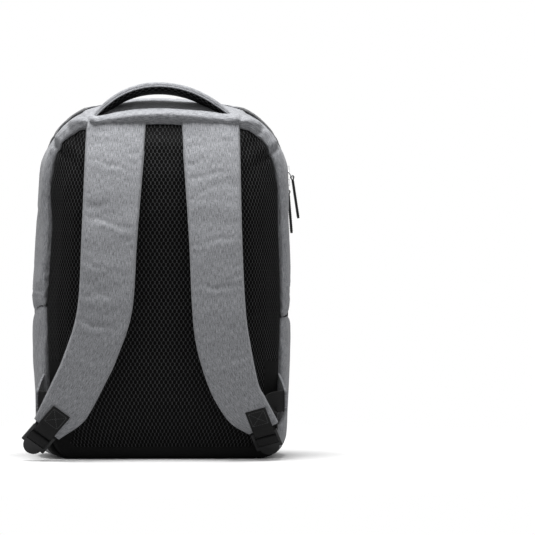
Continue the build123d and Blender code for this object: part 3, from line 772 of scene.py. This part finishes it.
def front_panels():
    cover = front_sheet("solar_top_sheet", "top_sheet", BAND_TOP, None)
    cell_strips(cover)
    thicken(cover, 1.2, inner="board_plastic")
    place(cover, "flap", "solar_cover", "panel_backing", slot="solar_sheet")
    backing = front_sheet("flap_inner_lining", "lining_cloth", BAND_LOW, None, 3.4)
    thicken(backing, 0.8)
    place(backing, "flap", "flap_lining", slot="lining_fabric")

    band = front_sheet("panel_band_fabric", "heather_trim", BAND_LOW - 0.4, BAND_TOP + 0.4)
    displace(band, lambda x, y, z: 1.0 - 0.10 * (z - (BAND_LOW + BAND_TOP) / 2) ** 2)
    thicken(band, 1.6, inner="lining_cloth")
    place(band, "flap", "panel_band", slot="melange_fabric")

    pocket = front_sheet("front_pocket_fabric", "heather", None, POCKET_TOP)
    simulate(pocket, 0.8, 0.006, 2.5)
    displace(pocket, lambda x, y, z: 0.5 * ripple(x, y, z, 55, 1.5) - seam_dip(z, POCKET_TOP, 2.5, 0.8))
    thicken(pocket, 2.0, inner="lining_cloth")
    place(pocket, "bag", "front_pocket_panel", slot="melange_fabric")
    inner = front_sheet("pocket_lining_cloth", "lining_cloth", 6.0, POCKET_TOP + 10, 9.2)
    displace(inner, lambda x, y, z: ripple(x, y, z, 40, 0.8))
    thicken(inner, 0.6)
    place(inner, "bag", "pocket_lining", slot="lining_fabric")


# ---------------------------------------------------------------- ribbons and padded bands
def spline(points, count):
    """A smooth path through the points (Catmull-Rom over chord lengths), resampled evenly."""
    p = np.asarray(points, float)
    p = np.concatenate([[2 * p[0] - p[1]], p, [2 * p[-1] - p[-2]]])
    dense = []
    for a, b, c, d in zip(p, p[1:], p[2:], p[3:]):
        t = np.linspace(0, 1, 24, endpoint=False)[:, None]
        dense.append(0.5 * (2 * b + (c - a) * t + (2 * a - 5 * b + 4 * c - d) * t**2 + (3 * b - a - 3 * c + d) * t**3))
    return even(np.concatenate(dense + [p[-2:-1]]), count)[0]


def cap_ends(thing):
    def work(bm):
        for face in bmesh.ops.holes_fill(bm, edges=[e for e in bm.edges if e.is_boundary], sides=0)["faces"]:
            face.smooth = True
    return edit(thing, work)


def sweep_section(name, path, across, normal, section, material, closed=True):
    """A section of (a, d) points swept along the path: a along across and d along normal. Sections may vary."""
    path, section = np.asarray(path, float), np.asarray(section, float)
    if section.ndim == 2:
        section = np.broadcast_to(section, (len(path), *section.shape))
    across = np.broadcast_to(unit_rows(np.asarray(across, float)), path.shape)
    normal = np.broadcast_to(unit_rows(np.asarray(normal, float)), path.shape)
    points = path[:, None] + section[..., :1] * across[:, None] + section[..., 1:] * normal[:, None]
    girth = lengths(section[len(path) // 2])
    uv = np.stack(np.broadcast_arrays(girth[None, :], lengths(path)[:, None]), -1)
    thing = grid_object(name, points, uv, material, close=closed)
    if closed:
        cap_ends(thing)
    return face_out(thing)


def flat_section(width, thickness):
    """A webbing's section: flat, with rounded and slightly raised edges."""
    h, t, raised = width / 2, thickness / 2, thickness / 2 + 0.125
    top = [(-h, 0), (-h + 0.3, t * 0.8), (-h + 1.2, raised), (-h + 2.4, t), (0, t), (h - 2.4, t),
           (h - 1.2, raised), (h - 0.3, t * 0.8)]
    return top + [(-a, -d) for a, d in top]


def ribbon(name, path, across, normal, width, thickness, material):
    return sweep_section(name, path, across, normal, flat_section(width, thickness), material)


def round_section(radius, count=8):
    t = np.linspace(0, 2 * math.pi, count, endpoint=False)
    return np.stack([radius * np.cos(t), radius * np.sin(t)], 1)


def tube(name, path, radius, material, count=8):
    path = np.asarray(path, float)
    tangent = unit_rows(np.gradient(path, axis=0))
    guide = np.array([0.0, 0.0, 1.0]) if abs(tangent[:, 2]).max() < 0.9 else np.array([0.36, 0.93, 0.05])
    across = unit_rows(np.cross(tangent, guide))
    return sweep_section(name, path, across, np.cross(across, tangent), round_section(radius, count), material)


def stitches(path, normal, pitch, length, radius):
    """A row of stitches lying on a surface along the path."""
    path = np.asarray(path, float)
    normal = np.broadcast_to(unit_rows(np.asarray(normal, float)), path.shape)
    s = lengths(path)
    parts, faces, base = [], [], 0
    ring = np.linspace(0, 2 * math.pi, 6, endpoint=False)
    for start in np.arange(pitch * 0.3, s[-1] - length, pitch):
        v = start + np.array([0.0, 0.15, 0.5, 0.85, 1.0]) * length
        sink = np.array([-0.35, 0.05, 0.18, 0.05, -0.35])[:, None]
        n = read_rows(v, s, normal)
        centre = read_rows(v, s, path) + n * sink
        b = unit_rows(np.cross(unit_rows(centre[-1:] - centre[:1]), n))
        round_b, round_n = np.cos(ring)[None, :, None] * b[:, None], np.sin(ring)[None, :, None] * n[:, None]
        parts.append((centre[:, None] + radius * (round_b + round_n)).reshape(-1, 3))
        for row in range(4):
            for k in range(6):
                a, c = base + row * 6 + k, base + row * 6 + (k + 1) % 6
                faces.append((a, c, c + 6, a + 6))
        base += 30
    mesh = bpy.data.meshes.new("row")
    mesh.from_pydata((np.concatenate(parts) * MM).tolist(), [], faces)
    return new_object("row", mesh, "thread")


def join(name, pieces):
    """One object from several that use the same materials in the same order."""
    bm = bmesh.new()
    for piece in pieces:
        bm.from_mesh(piece.data)
    mesh = bpy.data.meshes.new(name)
    bm.to_mesh(mesh)
    bm.free()
    thing = add_object(name, mesh)
    for material in pieces[0].data.materials:
        mesh.materials.append(material)
    for piece in pieces:
        bpy.data.objects.remove(piece)
    return thing


def padded_band(name, left, right, thick, outward, dome=0.8, seam=0.58):
    """A padded strap between two edge lines on its outer face: woven cover over, mesh under, a rolled edge round it."""
    centre, chord = (left + right) / 2, right - left
    width = np.linalg.norm(chord, axis=1)
    across, tangent = unit_rows(chord), unit_rows(np.gradient(centre, axis=0))
    normal = unit_rows(np.cross(across, tangent))
    normal *= np.sign((normal * np.asarray(outward)).sum(-1, keepdims=True))
    middle = np.linspace(-1, 1, 13)
    cover, lining = [], []
    for w, t in zip(width, thick):
        h, k = w / 2, min(1.0, t / 6)
        edge = [(h, t * seam), (h + 0.5, t * 0.42), (h + 0.2, t * 0.24), (h - 0.9, t * 0.08), (h - 2.4, 0.0),
                (h - 3.9, 0.55 * k), (h - 5.4, 0.0)]
        top = [(m * (h - 7.5), -dome * k * (1 - m * m)) for m in middle]
        cover.append([(-a, -d) for a, d in edge] + [(a, -d) for a, d in top] + [(a, -d) for a, d in edge[::-1]])
        low = [(h, t * seam), (h - 0.6, t * 0.78), (h - 2.2, t * 0.94), (h - 5.0, t)]
        base = [(m * (h - 7.5), t + 0.5 * k * (1 - m * m)) for m in middle]
        lining.append([(-a, -d) for a, d in low] + [(a, -d) for a, d in base] + [(a, -d) for a, d in low[::-1]])
    top = sweep_section(f"{name}_cover", centre, across, normal, cover, "heather", closed=False)
    bottom = sweep_section(f"{name}_lining", centre, across, normal, lining, "spacer_mesh", closed=False)
    for thing, way in ((top, 1), (bottom, -1)):
        facing = sum(Vector(f.normal).dot(Vector(normal[len(normal) // 2])) for f in thing.data.polygons)
        if facing * way < 0:
            reverse(thing)
    rims = []
    for sign in (-1, 1):
        path = centre + across * (sign * (width / 2)[:, None]) - normal * (thick * seam)[:, None]
        rims.append(tube(f"{name}_rim", path, 1.0, "heather_trim"))
    return top, bottom, join(f"{name}_piping", rims)


# ---------------------------------------------------------------- shoulder straps
STRAP_ARCH = [(-66, 402), (-90, 357), (-106.5, 309), (-119, 255), (-126.5, 190), (-125.5, 141), (-121, 103)]
STRAP_TAIL = {"right": [(-111, 68), (-99.5, 47), (-86, 27)], "left": [(-112, 68), (-104.5, 47), (-96.5, 27)]}
STRAP_INNER = {
    "right": [(24, 406), (33, 270), (37, 180), (42, 136), (54, 93), (66, 66), (82, 43), (103, 30)],
    "left": [(-18, 406), (-29, 270), (-35.5, 178), (-53, 122), (-66, 93), (-84, 58), (-96, 42), (-121.5, 25)],
}
STRAP_OUTER = {
    "right": [(92, 406), (94, 270), (98, 180), (104, 136), (113, 91), (122, 72), (137, 44)],
    "left": [(-88, 406), (-93, 270), (-98, 180), (-114, 124), (-129, 90), (-142, 63), (-149, 49)],
}
STRAP_T = 11.2
# Creases pressed into the straps' covers: x, z, slope, width, depth and reach of each
FOLDS = {
    "left": [(-60, 349, -0.3, 2.6, 1.6, 30), (-68, 283, -0.3, 2.6, 1.5, 26), (-75, 230, -0.35, 2.4, 1.3, 20),
             (-80, 163, -0.32, 3.2, 2.6, 30)],
    "right": [(58, 338, 0.15, 2.4, 1.3, 24), (70, 262, 0.2, 2.4, 1.3, 22), (66, 205, -0.25, 2.6, 1.5, 24),
              (90, 120, 0.35, 2.8, 1.5, 20)],
}
LEAN = {"right": 22.0, "left": -41.0}
SLOPE = {"right": 33.0, "left": 22.0}
BAR_R, TAB_W, TAB_T = 1.7, 25.0, 1.6


def strap_face(side, flat):
    """Points (x, z) raised onto the strap's outer face."""
    profile = spline(STRAP_ARCH + STRAP_TAIL[side], 200)[::-1]
    y = np.interp(flat[:, 1], profile[:, 1], profile[:, 0])
    y = np.where(flat[:, 1] > 402, -66 + (flat[:, 1] - 402) * 0.9, y)
    return np.stack([flat[:, 0], y, flat[:, 1]], 1)


def end_frame(side):
    """Axes at the ladder lock's top bar: x along it, y up the strap, z away from the bag."""
    lean, slope = math.radians(LEAN[side]), math.radians(SLOPE[side])
    normal = np.array([0, -math.cos(slope), -math.sin(slope)])
    down = unit_rows(np.array([math.sin(lean), math.cos(lean) * math.tan(slope), -math.cos(lean)]))
    origin = pivot_mm(f"{side}_buckle_tilt")
    return origin, np.cross(normal, down), -down, normal


def to_world(frame_axes, points):
    origin, x, y, z = frame_axes
    points = np.asarray(points, float)
    return origin + points[..., :1] * x + points[..., 1:2] * y + points[..., 2:] * z


def to_local(frame_axes, points):
    origin, x, y, z = frame_axes
    return (points - origin) @ np.stack([x, y, z], 1)


def strap(side):
    count = 150
    inner, outer = (strap_face(side, spline(edge[side], count)) for edge in (STRAP_INNER, STRAP_OUTER))
    left, right = (inner, outer) if side == "right" else (outer, inner)
    middle_z = (left[:, 2] + right[:, 2]) / 2
    thick = STRAP_T * np.interp(middle_z, [27, 47, 68, 103], [0.34, 0.55, 0.8, 1.0])
    body, name = f"{side}_strap", f"{side}_strap"
    cover, lining, piping = padded_band(name, left, right, thick, (0, -1, 0))

    def creases(x, y, z):
        seed = 9.0 if side == "left" else 0.0
        set_in = 0.0
        for at_x, at_z, slope, width, depth, reach in FOLDS[side]:
            bend = 5.0 * noise_at(x / 17, at_z, z / 60)
            off = (z - at_z - bend - slope * (x - at_x)) / width
            near = bell(x - at_x, 0.8 * reach) * depth * 0.8
            set_in += near * (0.4 * bell(off + 2.3, 1.7) - bell(off, 1.0))
        wave = noise_at(x / 80 + seed, 0.3, z / 24)
        fold = noise_at(x / 42 + z / 90, seed, z / 17 - x / 60)
        patch = smooth_step(noise_at(x / 50, seed + 4, z / 50), -0.1, 0.35)
        sharp = max(0.0, 1 - 3.4 * abs(fold)) ** 2 * patch
        return set_in + 1.5 * wave - 1.5 * sharp + 0.5 * noise_at(x / 15, 1.0 + seed, z / 55)

    columns = len(cover.data.vertices) // count
    from_edge = np.minimum(np.arange(columns), np.arange(columns)[::-1])
    displace(cover, creases, np.tile(np.clip((from_edge - 2) / 5, 0, 1), count))
    place(cover, body, f"{side}_strap_pad", slot="melange_fabric")
    place(lining, body, f"{side}_strap_mesh", slot="air_mesh")
    place(piping, body, slot="melange_fabric")
    webbing_tab(side, left, right)
    lower_webbing(side, 1 if side == "right" else -1)


def webbing_tab(side, left, right):
    """The tab's upper ply is sewn over the strap's end, goes round the top bar and comes back under the strap."""
    axes = end_frame(side)
    local = to_local(axes, (left + right) / 2)
    order = np.argsort(local[:, 1])
    reach = BAR_R + 0.35 + TAB_T / 2
    rise = lambda y: np.interp(y, local[order, 1], local[order, 2]) + TAB_T / 2 + 0.9
    upper = [(0, y, rise(y)) for y in np.linspace(34, 8, 13)]
    round_bar = np.linspace(math.radians(-20), math.radians(200), 22)
    bend = [(0, -reach * math.sin(a), reach * math.cos(a)) for a in round_bar]
    lower = [(0, y, -reach - 0.35 * (y - 2)) for y in np.linspace(3, 9, 5)]
    path = to_world(axes, spline(upper + bend + lower, 90))
    across = axes[1]
    normal = unit_rows(np.cross(np.gradient(path, axis=0), across))
    tab = ribbon(f"{side}_tab_webbing", path, across, normal, TAB_W, TAB_T, "black_webbing")
    place(tab, f"{side}_strap", f"{side}_strap_tab", slot="webbing")
    half, low, high = TAB_W / 2 - 3, 13.0, 31.5
    corners = [(-half, low), (half, low), (half, high), (-half, high), (-half, low), (half, high), (half, low),
               (-half, high)]
    rows = []
    for (x0, y0), (x1, y1) in zip(corners, corners[1:]):
        t = np.linspace(0, 1, 12)
        line = np.stack([x0 + (x1 - x0) * t, y0 + (y1 - y0) * t, rise(y0 + (y1 - y0) * t) + TAB_T / 2 + 0.05], 1)
        rows.append(stitches(to_world(axes, line), axes[3], 2.6, 1.9, 0.26))
    place(join(f"{side}_tab_stitching", rows), f"{side}_strap", slot="webbing")


def lower_webbing(side, sign):
    """From the wing's tip across behind the strap, down to the ladder lock, over its middle bar and back under."""
    axes = end_frame(side)
    start = [(sign * x, y, z) for x, y, z in ((145.6, -72, 69), (146.2, -80, 69.5), (140, -86, 69.5), (131, -88.5, 67))]
    start.append((sign * 125, -89.5, 57))
    local = [(0, -13, -10), (0, -15.9, -4.5), (0, -15.7, 0.6), (0, -13.9, 2.8), (0, -9.4, 2.8), (0, -6.6, 1.6),
             (0, -5.7, -2.0), (0, -4.6, -6.5), (0, -1.0, -9.5)]
    path = spline(np.array(start + [tuple(to_world(axes, np.array(p))) for p in local], float), 170)
    share = np.clip((np.linspace(0, 1, 170) - 0.22) / 0.32, 0, 1)[:, None]
    share = share * share * (3 - 2 * share)
    across = unit_rows(np.array([0, 0, -1.0]) * (1 - share) + axes[1] * sign * share)
    tangent = unit_rows(np.gradient(path, axis=0))
    across = unit_rows(across - tangent * (across * tangent).sum(-1, keepdims=True))
    piece = ribbon(f"{side}_adjuster_webbing", path, across, np.cross(tangent, across), 25.2, 1.5, "black_webbing")
    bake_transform(piece)
    stand_for(piece, (f"{side}_lower_webbing",))


def wing(side, sign):
    """A grey triangle sewn into the side seam, whose tip wraps the webbing's end."""
    rows, columns = 40, 14
    s = np.linspace(0, 1, rows)
    spine_x = np.interp(s, [0, 0.5, 1], [138.6, 143.6, 147.2])
    spine_y = np.interp(s, [0, 0.5, 1], [-55.5, -70, -83.5])
    high = np.interp(s, [0, 1], [104, 81.5])
    low = np.interp(s, [0, 1], [38, 57.5])
    smooth = lambda v: np.convolve(np.pad(v, 3, mode="edge"), np.ones(7) / 7, "valid")
    spine_x, spine_y, high, low = (smooth(v) for v in (spine_x, spine_y, high, low))
    t = np.linspace(0, 1, columns)
    z = low[:, None] + (high - low)[:, None] * t[None, :]
    puff = 1.6 * np.sin(math.pi * t)[None, :] * np.sin(math.pi * np.clip(s, 0, 1))[:, None] ** 0.5
    x = sign * (spine_x[:, None] + puff)
    y = np.broadcast_to(spine_y[:, None], z.shape)
    uv = np.stack([lengths(np.stack([spine_x, spine_y], 1))[:, None] + z * 0, z], -1)
    sheet = grid_object(f"{side}_wing_fabric", np.stack([x, y, z], -1), uv, "heather")
    modifier(sheet, "SOLIDIFY", thickness=2.6 * MM, offset=0.0)
    modifier(sheet, "BEVEL", width=0.9 * MM, segments=3, limit_method="ANGLE", angle_limit=1.0)
    apply_modifiers(sheet)
    face_out(sheet)
    place(sheet, "bag", f"{side}_wing", slot="melange_fabric")


# ---------------------------------------------------------------- grab handle
def handle():
    (x, y, foot_z), top, half, half_w, thick = np.array([5.0, -36.0, 413.0]), 446.0, 74.0, 17.5, 10.6
    rise = top - foot_z
    radius = (half * half + rise * rise) / (2 * rise)
    centre_z, reach = top - radius, math.asin(half / radius) + math.radians(7.5)
    a = np.linspace(-reach, reach, 90)
    flare = 1 + 0.10 * np.clip((np.abs(a) / reach - 0.72) / 0.28, 0, 1) ** 1.5
    t = a / reach
    lean = -8.0 + 5.0 * t + 6.0 * t * t

    def edge(side):
        return np.stack([x + lean + radius * np.sin(a), y + side * half_w * flare,
                         centre_z + radius * np.cos(a) - side * 2.4 * np.cos(a)], 1)

    outward = np.stack([np.sin(a), 0 * a, np.cos(a)], 1)
    depth = thick * np.interp(np.abs(a) / reach, [0, 0.7, 1], [1, 0.95, 0.55])
    cover, lining, piping = padded_band("handle", edge(-1), edge(1), depth, outward, dome=1.2, seam=0.5)
    displace(cover, lambda px, py, pz: ripple(px, py, pz, 26, 0.5))
    for piece, node, slot in ((cover, "handle_cover", "melange_fabric"), (lining, "handle_mesh", "air_mesh"),
                              (piping, None, "melange_fabric")):
        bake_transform(piece)
        stand_for(piece, (node,) if node else ())


# ---------------------------------------------------------------- zip coils and pulls
def coil_row(name, path, normal, side):
    """One side of a nylon coil: a row of small rounded loops along the path. side is the direction to its tape."""
    s, pitch, height, near, far = lengths(path), 1.5, 1.1, 0.3, 2.5
    fine = np.arange(0, s[-1], pitch / 6)
    at, up = read_rows(fine, s, path), unit_rows(read_rows(fine, s, normal))
    out = unit_rows(np.asarray(side, float))
    hill = np.abs(np.sin(math.pi * fine / pitch)) ** 0.7
    rows = []
    for share in np.linspace(0, math.pi, 7):
        w = (near + far) / 2 - (far - near) / 2 * math.cos(share)
        h = height * math.sin(share) * (0.45 + 0.55 * hill) - 0.35 * (1 - hill)
        rows.append(at + out * w + up * h[:, None])
    thing = grid_object(name, rows, uv_rows(np.linspace(0, 3, 7), fine), "coil_plastic")
    facing = sum(f.normal.dot(Vector(up[len(up) // 2])) for f in list(thing.data.polygons)[::17])
    return thing if facing > 0 else reverse(thing)


def pull(kind, tilt, axis, out, folded=True):
    """A leather pull: two plies folded round the ring's bar, narrow at the top, with stitching down both edges."""
    name, body, length = f"{kind}_leather_pull", f"{kind}_pull_body", 50.0
    pivot, down = pivot_mm(f"{kind}_pull_swing"), np.array([0, 0, -1.0])
    axis, out = unit_rows(np.asarray(axis, float)), unit_rows(np.asarray(out, float))
    hang = unit_rows(down * math.cos(tilt) + out * math.sin(tilt))
    face = unit_rows(np.cross(axis, hang))
    face *= np.sign((face * out).sum()) or 1.0
    width = lambda s: 4.2 + 1.1 * np.clip(s / length, 0, 1)
    if folded:
        ends = np.linspace(length, 3.0, 26)
        loop = [(1.9 * math.cos(a), 1.9 * math.sin(a)) for a in np.linspace(-0.15, math.pi + 0.15, 12)]
        outline = [(s, 0.72) for s in ends] + [(-b, a) for a, b in loop] + [(s, -0.72) for s in ends[::-1]]
    else:
        outline = [(s, 0.0) for s in np.linspace(length, -3.2, 34)]
    outline = np.array(outline)
    path = pivot + outline[:, :1] * hang + outline[:, 1:] * face
    tangent = unit_rows(np.gradient(path, axis=0))
    normal = np.cross(tangent, axis)
    t = 0.66 if folded else 1.3
    sections = []
    for s in outline[:, 0]:
        end = max(0.0, min(1.0, (length - s) / 1.6)) ** 0.5
        h = width(s) - 1.2 * (1 - end)
        if not folded:
            h = h - 1.2 * (1 - min(1.0, (s + 3.2) / 1.6))
        ring = [(-h, 0), (-h + 0.25, t * 0.75), (-h + 0.8, t), (-h + 1.5, t * 0.86), (0, t), (h - 1.5, t * 0.86),
                (h - 0.8, t), (h - 0.25, t * 0.75)]
        sections.append(ring + [(-a, -d) for a, d in ring])
    piece = sweep_section(name, path, axis, normal, sections, "pull_leather")
    place(piece, body, f"{kind}_slider_pull", slot="pull_leather")
    rows = []
    lift = (0.72 + t if folded else t) - 0.02
    for way in (-1, 1):
        for sign in (-1, 1):
            s = np.linspace(4.5, length - 2.2, 20)
            line = pivot + s[:, None] * hang + sign * (width(s) - 1.7)[:, None] * axis + way * lift * face
            rows.append(stitches(line, way * face, 2.4, 1.7, 0.2))
    place(join(f"{name}_stitching", rows), body, slot="pull_leather")


def pulls():
    along_y = np.array([0, 1.0, 0])
    for kind, lean in (("upper", 8.5), ("lower", 4.5)):
        pull(kind, math.radians(lean), along_y, (1, 0, 0))
    radial = np.array([math.cos(math.radians(45)), math.sin(math.radians(45)), 0])
    pull("pocket", 0.0, np.array([-radial[1], radial[0], 0]), radial, folded=False)


def zip_coils():
    path, normals = zip_path()
    for half, sign in (("rear", -1), ("front", 1)):
        line = path + np.array([0, ZIP_Y, 0]) - normals * 0.75
        piece = coil_row(f"main_zip_{half}_coil_loops", line, normals, (0, sign, 0))
        if half == "rear":
            place(piece, "bag", slot="zip_coil")
        else:
            fold_over(piece, "flap", slot="zip_coil")


def pocket_zip():
    """The pocket's zip: two tapes and two coils round the front, from side seam to side seam."""
    turn_x, turn_y, radius = 102.6, 37.9, 50.2
    start = math.asin((FRONT_Y - 1 - turn_y) / radius)
    a = np.linspace(start, math.pi / 2, 30)
    right = np.stack([turn_x + radius * np.cos(a), turn_y + radius * np.sin(a), 0 * a + POCKET_ZIP_Z], 1)
    path = even(np.concatenate([right, right[::-1] * [-1, 1, 1]]), 400)[0]
    tangent = unit_rows(np.gradient(path, axis=0))
    normal = np.cross(tangent, [0, 0, 1.0])
    normal *= np.sign((normal * (path - [0, 20, POCKET_ZIP_Z])).sum(-1, keepdims=True))
    up = np.broadcast_to([0, 0, 1.0], path.shape)
    tapes, coils = [], []
    for sign in (-1, 1):
        half_tape = ((7.6, -2.4), (6.4, -1.5), (5.6, -1.2), (3.6, -1.1), (3.2, -1.0), (2.6, -0.9), (1.0, -0.8),
                     (0.3, -0.9), (0.25, -2.0))
        section = [(sign * v, d) for v, d in half_tape]
        tape = sweep_section("pocket_tape", path, up, normal, section, "tape_cloth", closed=False)
        tapes.append(thicken(tape, 0.5))
        coil = coil_row("pocket_coil", path - normal * 0.85, normal, (0, 0, sign))
        coil.data.materials[0] = MATERIALS["silver_coil"]
        coils.append(coil)
    place(join("pocket_zip_tape_strips", tapes), "bag", "pocket_zip_tapes", slot="zip_tape")
    place(join("pocket_zip_coil_loops", coils), "bag", "pocket_zip_coils", slot="zip_coil")


def cell_strips(cover):
    """Four upright strips of cells on the panel, each of five wafers with two silver busbars."""
    tree = BVHTree.FromObject(cover, bpy.context.evaluated_depsgraph_get())

    def on_panel(x, z, lift):
        hit = tree.ray_cast(Vector((x, 200, z)) * MM, Vector((0, -1, 0)))
        return np.array(hit[0]) / MM + np.array(hit[1]) * lift

    low, high = box_mm("solar_cells")[0][2] + 2, box_mm("solar_cells")[1][2] - 2
    wafers, bars = [], []
    count, gap = 5, 2.4
    step = (high - low + gap) / count
    for x in (-69, -23, 23, 69):
        for row in range(count):
            z0, z1 = low + row * step, low + row * step + step - gap
            xs, zs = np.linspace(x - 20, x + 20, 12), np.linspace(z0, z1, 9)
            points = [[on_panel(px, pz, 0.35) for px in xs] for pz in zs]
            uv = [[(px, pz) for px in xs] for pz in zs]
            wafers.append(grid_object("wafer", points, uv, "cell"))
        for bar_x in (x - 8, x + 8):
            path = np.array([on_panel(bar_x, z, 0.45) for z in np.linspace(low - 3, high + 3, 40)])
            bars.append(ribbon("bar", path, (1, 0, 0), (0, 1, 0), 0.9, 0.3, "busbar"))
    place(join("solar_cell_wafers", wafers), "flap", "solar_cells", slot="solar_cell")
    place(join("solar_busbars", bars), "flap", slot="solar_cell")


def divider():
    """The padded laptop divider: a quilted board with a bound edge."""
    low, high = box_mm("laptop_divider")
    half, mid_y, depth = high[0], (low[1] + high[1]) / 2, (high[1] - low[1]) / 2
    z = np.linspace(low[2], high[2], 90)
    sections = []
    for at in z:
        from_top = high[2] - at
        inset = 14 - math.sqrt(max(0.0, 14**2 - max(0.0, 14 - from_top) ** 2))
        swell = depth * min(1.0, 0.45 + from_top / 10)
        a = np.linspace(-1, 1, 40)
        front = [(v * (half - inset), swell * (1 - abs(v) ** 24) ** 0.5 + 0.25) for v in a]
        sections.append(front + [(p, -d) for p, d in front[::-1]])
    path = np.stack([0 * z, 0 * z + mid_y, z], 1)
    panel = sweep_section("padded_divider", path, (1, 0, 0), (0, 1, 0), sections, "lining_cloth")
    displace(panel, lambda px, py, pz: ripple(px, py, pz, 34, 0.4))
    place(panel, "bag", "laptop_divider", slot="lining_fabric")


def yoke(x, y, z):
    """The top panel rolls out over the straps' ends and is gathered by a seam behind the roll."""
    middle = 1 - smooth_step(abs(x + 1), 98, 127)
    level = z + 0.00108 * x * x
    out = smooth_step(-y, 46, 54) * (7.0 + 4.5 * bell(level - 408, 6))
    wave = 0.8 * noise_at(x / 21, 0.7, z / 30)
    crease = 2.2 * bell(y + 44.5, 2.6)
    seam = 1.3 * bell(x - 80, 1.1) * smooth_step(-y, 50, 56)
    return 0.0, middle * (seam - out + wave), -middle * crease


def opening_shape(x, y, z):
    """The back opening sits a little to +X and has squarer top corners than the shell. Folds run out from them."""
    near = smooth_step(-y, 28, 52)
    shift = (2.5 if x > 0 else 2.5 - 4.5 * smooth_step(z, 270, 320)) * near
    if z < 300 or y > -28:
        return shift, 0.0, 0.0
    turn = math.degrees(math.atan2(z - 300, abs(x) - 40))
    rim = smooth_step(-y, 40, 60) if x < 0 else near
    push = (9.5 if x < 0 else 8.5) * bell(turn - 50, 19) * rim
    folds = ((41, 3.6), (54, 1.2), (66, 3.4)) if x < 0 else ((36, 3.0), (50, 1.8), (63, 2.6))
    crease = sum(depth * bell(turn - at, 1.7) - 0.4 * depth * bell(turn - at - 4, 2.4) for at, depth in folds)
    crease *= smooth_step(-y, 40, 56)
    a = math.radians(turn)
    out = push - crease * 0.7
    return shift + math.copysign(out, x) * math.cos(a), crease * 1.3, out * math.sin(a)


CAD_MATERIALS = {
    "board_plastic": ("frame_sheet", "base_board"),
    "case_plastic": ("junction_box", "regulator_case"),
    "lead_rubber": ("panel_lead",),
    "plated_steel": ("usb_socket",),
    "nickel": [f"{kind}_slider{part}" for kind in ("upper", "lower", "pocket") for part in ("", "_ring")],
    "buckle_plastic": ("left_ladder_lock", "right_ladder_lock"),
}


def dress_cad():
    """Gives every CAD part that stays on show its material, and softens its edges."""
    for material, names in CAD_MATERIALS.items():
        for name in names:
            thing = frame["nodes"][name]
            thing.data.materials.clear()
            thing.data.materials.append(MATERIALS[material])
            if "lead" in name or "ring" in name:
                continue
            width = 0.6 if "lock" in name or "case" in name or "box" in name else 0.22
            modifier(thing, "BEVEL", width=width * MM, segments=2, limit_method="ANGLE",
                     angle_limit=math.radians(40), harden_normals=False)


def build_all():
    rear_gusset()
    front_gusset()
    lower_panels()
    back_pad()
    main_zip()
    zip_coils()
    front_panels()
    pocket_zip()
    divider()
    for side, sign in (("left", -1), ("right", 1)):
        strap(side)
        wing(side, sign)
    handle()
    pulls()
    dress_cad()


# ---------------------------------------------------------------- camera, light and floor
def look_at(thing, target):
    thing.rotation_mode = "QUATERNION"
    thing.rotation_quaternion = (Vector(target) - thing.location).to_track_quat("-Z", "Y")


def camera():
    data = bpy.data.cameras.new("camera")
    data.lens, data.sensor_width = 300.0, 36.0
    data.clip_end = 50.0
    thing = add_object("camera", data)
    aim, away = Vector((0.1275, 0.0, 0.2265)), 5.36
    height = math.radians(1.0)
    thing.location = Vector((0.0, -away * math.cos(height), aim.z + away * math.sin(height)))
    look_at(thing, aim)
    bpy.context.scene.camera = thing


def area_light(name, place_at, target, size, power):
    data = bpy.data.lights.new(name, "AREA")
    data.shape, data.size, data.energy = "DISK", size, power
    thing = add_object(name, data)
    thing.location = place_at
    look_at(thing, target)


def studio():
    world = bpy.data.worlds.new("studio")
    bpy.context.scene.world = world
    world.use_nodes = True
    sky = world.node_tree.nodes["Background"]
    sky.inputs[0].default_value, sky.inputs[1].default_value = (1.0, 1.0, 1.0, 1.0), 1.0
    area_light("top_softbox", (-0.05, -0.12, 1.35), (0, 0, 0.25), 0.8, 41.0)
    n = Nodes("studio_floor")
    n.out(None, None, 0.9, Specular_IOR_Level=0.0)
    n.shader.inputs["Base Color"].default_value = (0.5, 0.5, 0.5, 1.0)
    share = n.span(n.vector("LENGTH", n.place(1.0)), 0.22, 0.75, kind="SMOOTHSTEP")
    glow = n.add("ShaderNodeEmission", {0: (1.0, 1.0, 1.0, 1.0), 1: 1.0}).outputs[0]
    mixed = n.add("ShaderNodeMixShader", {0: share, 1: n.shader.outputs[0], 2: glow}).outputs[0]
    n.tree.links.new(mixed, n.tree.nodes["Material Output"].inputs[0])
    mesh = bpy.data.meshes.new("studio_floor")
    mesh.from_pydata([(-4, -4, 0), (4, -4, 0), (4, 4, 0), (-4, 4, 0)], [], [(0, 1, 2, 3)])
    new_object("studio_floor", mesh, "studio_floor")
    bpy.context.scene.view_settings.view_transform = "Standard"
    bpy.context.scene.view_settings.look = "None"


make_materials()
camera()
studio()
build_all()
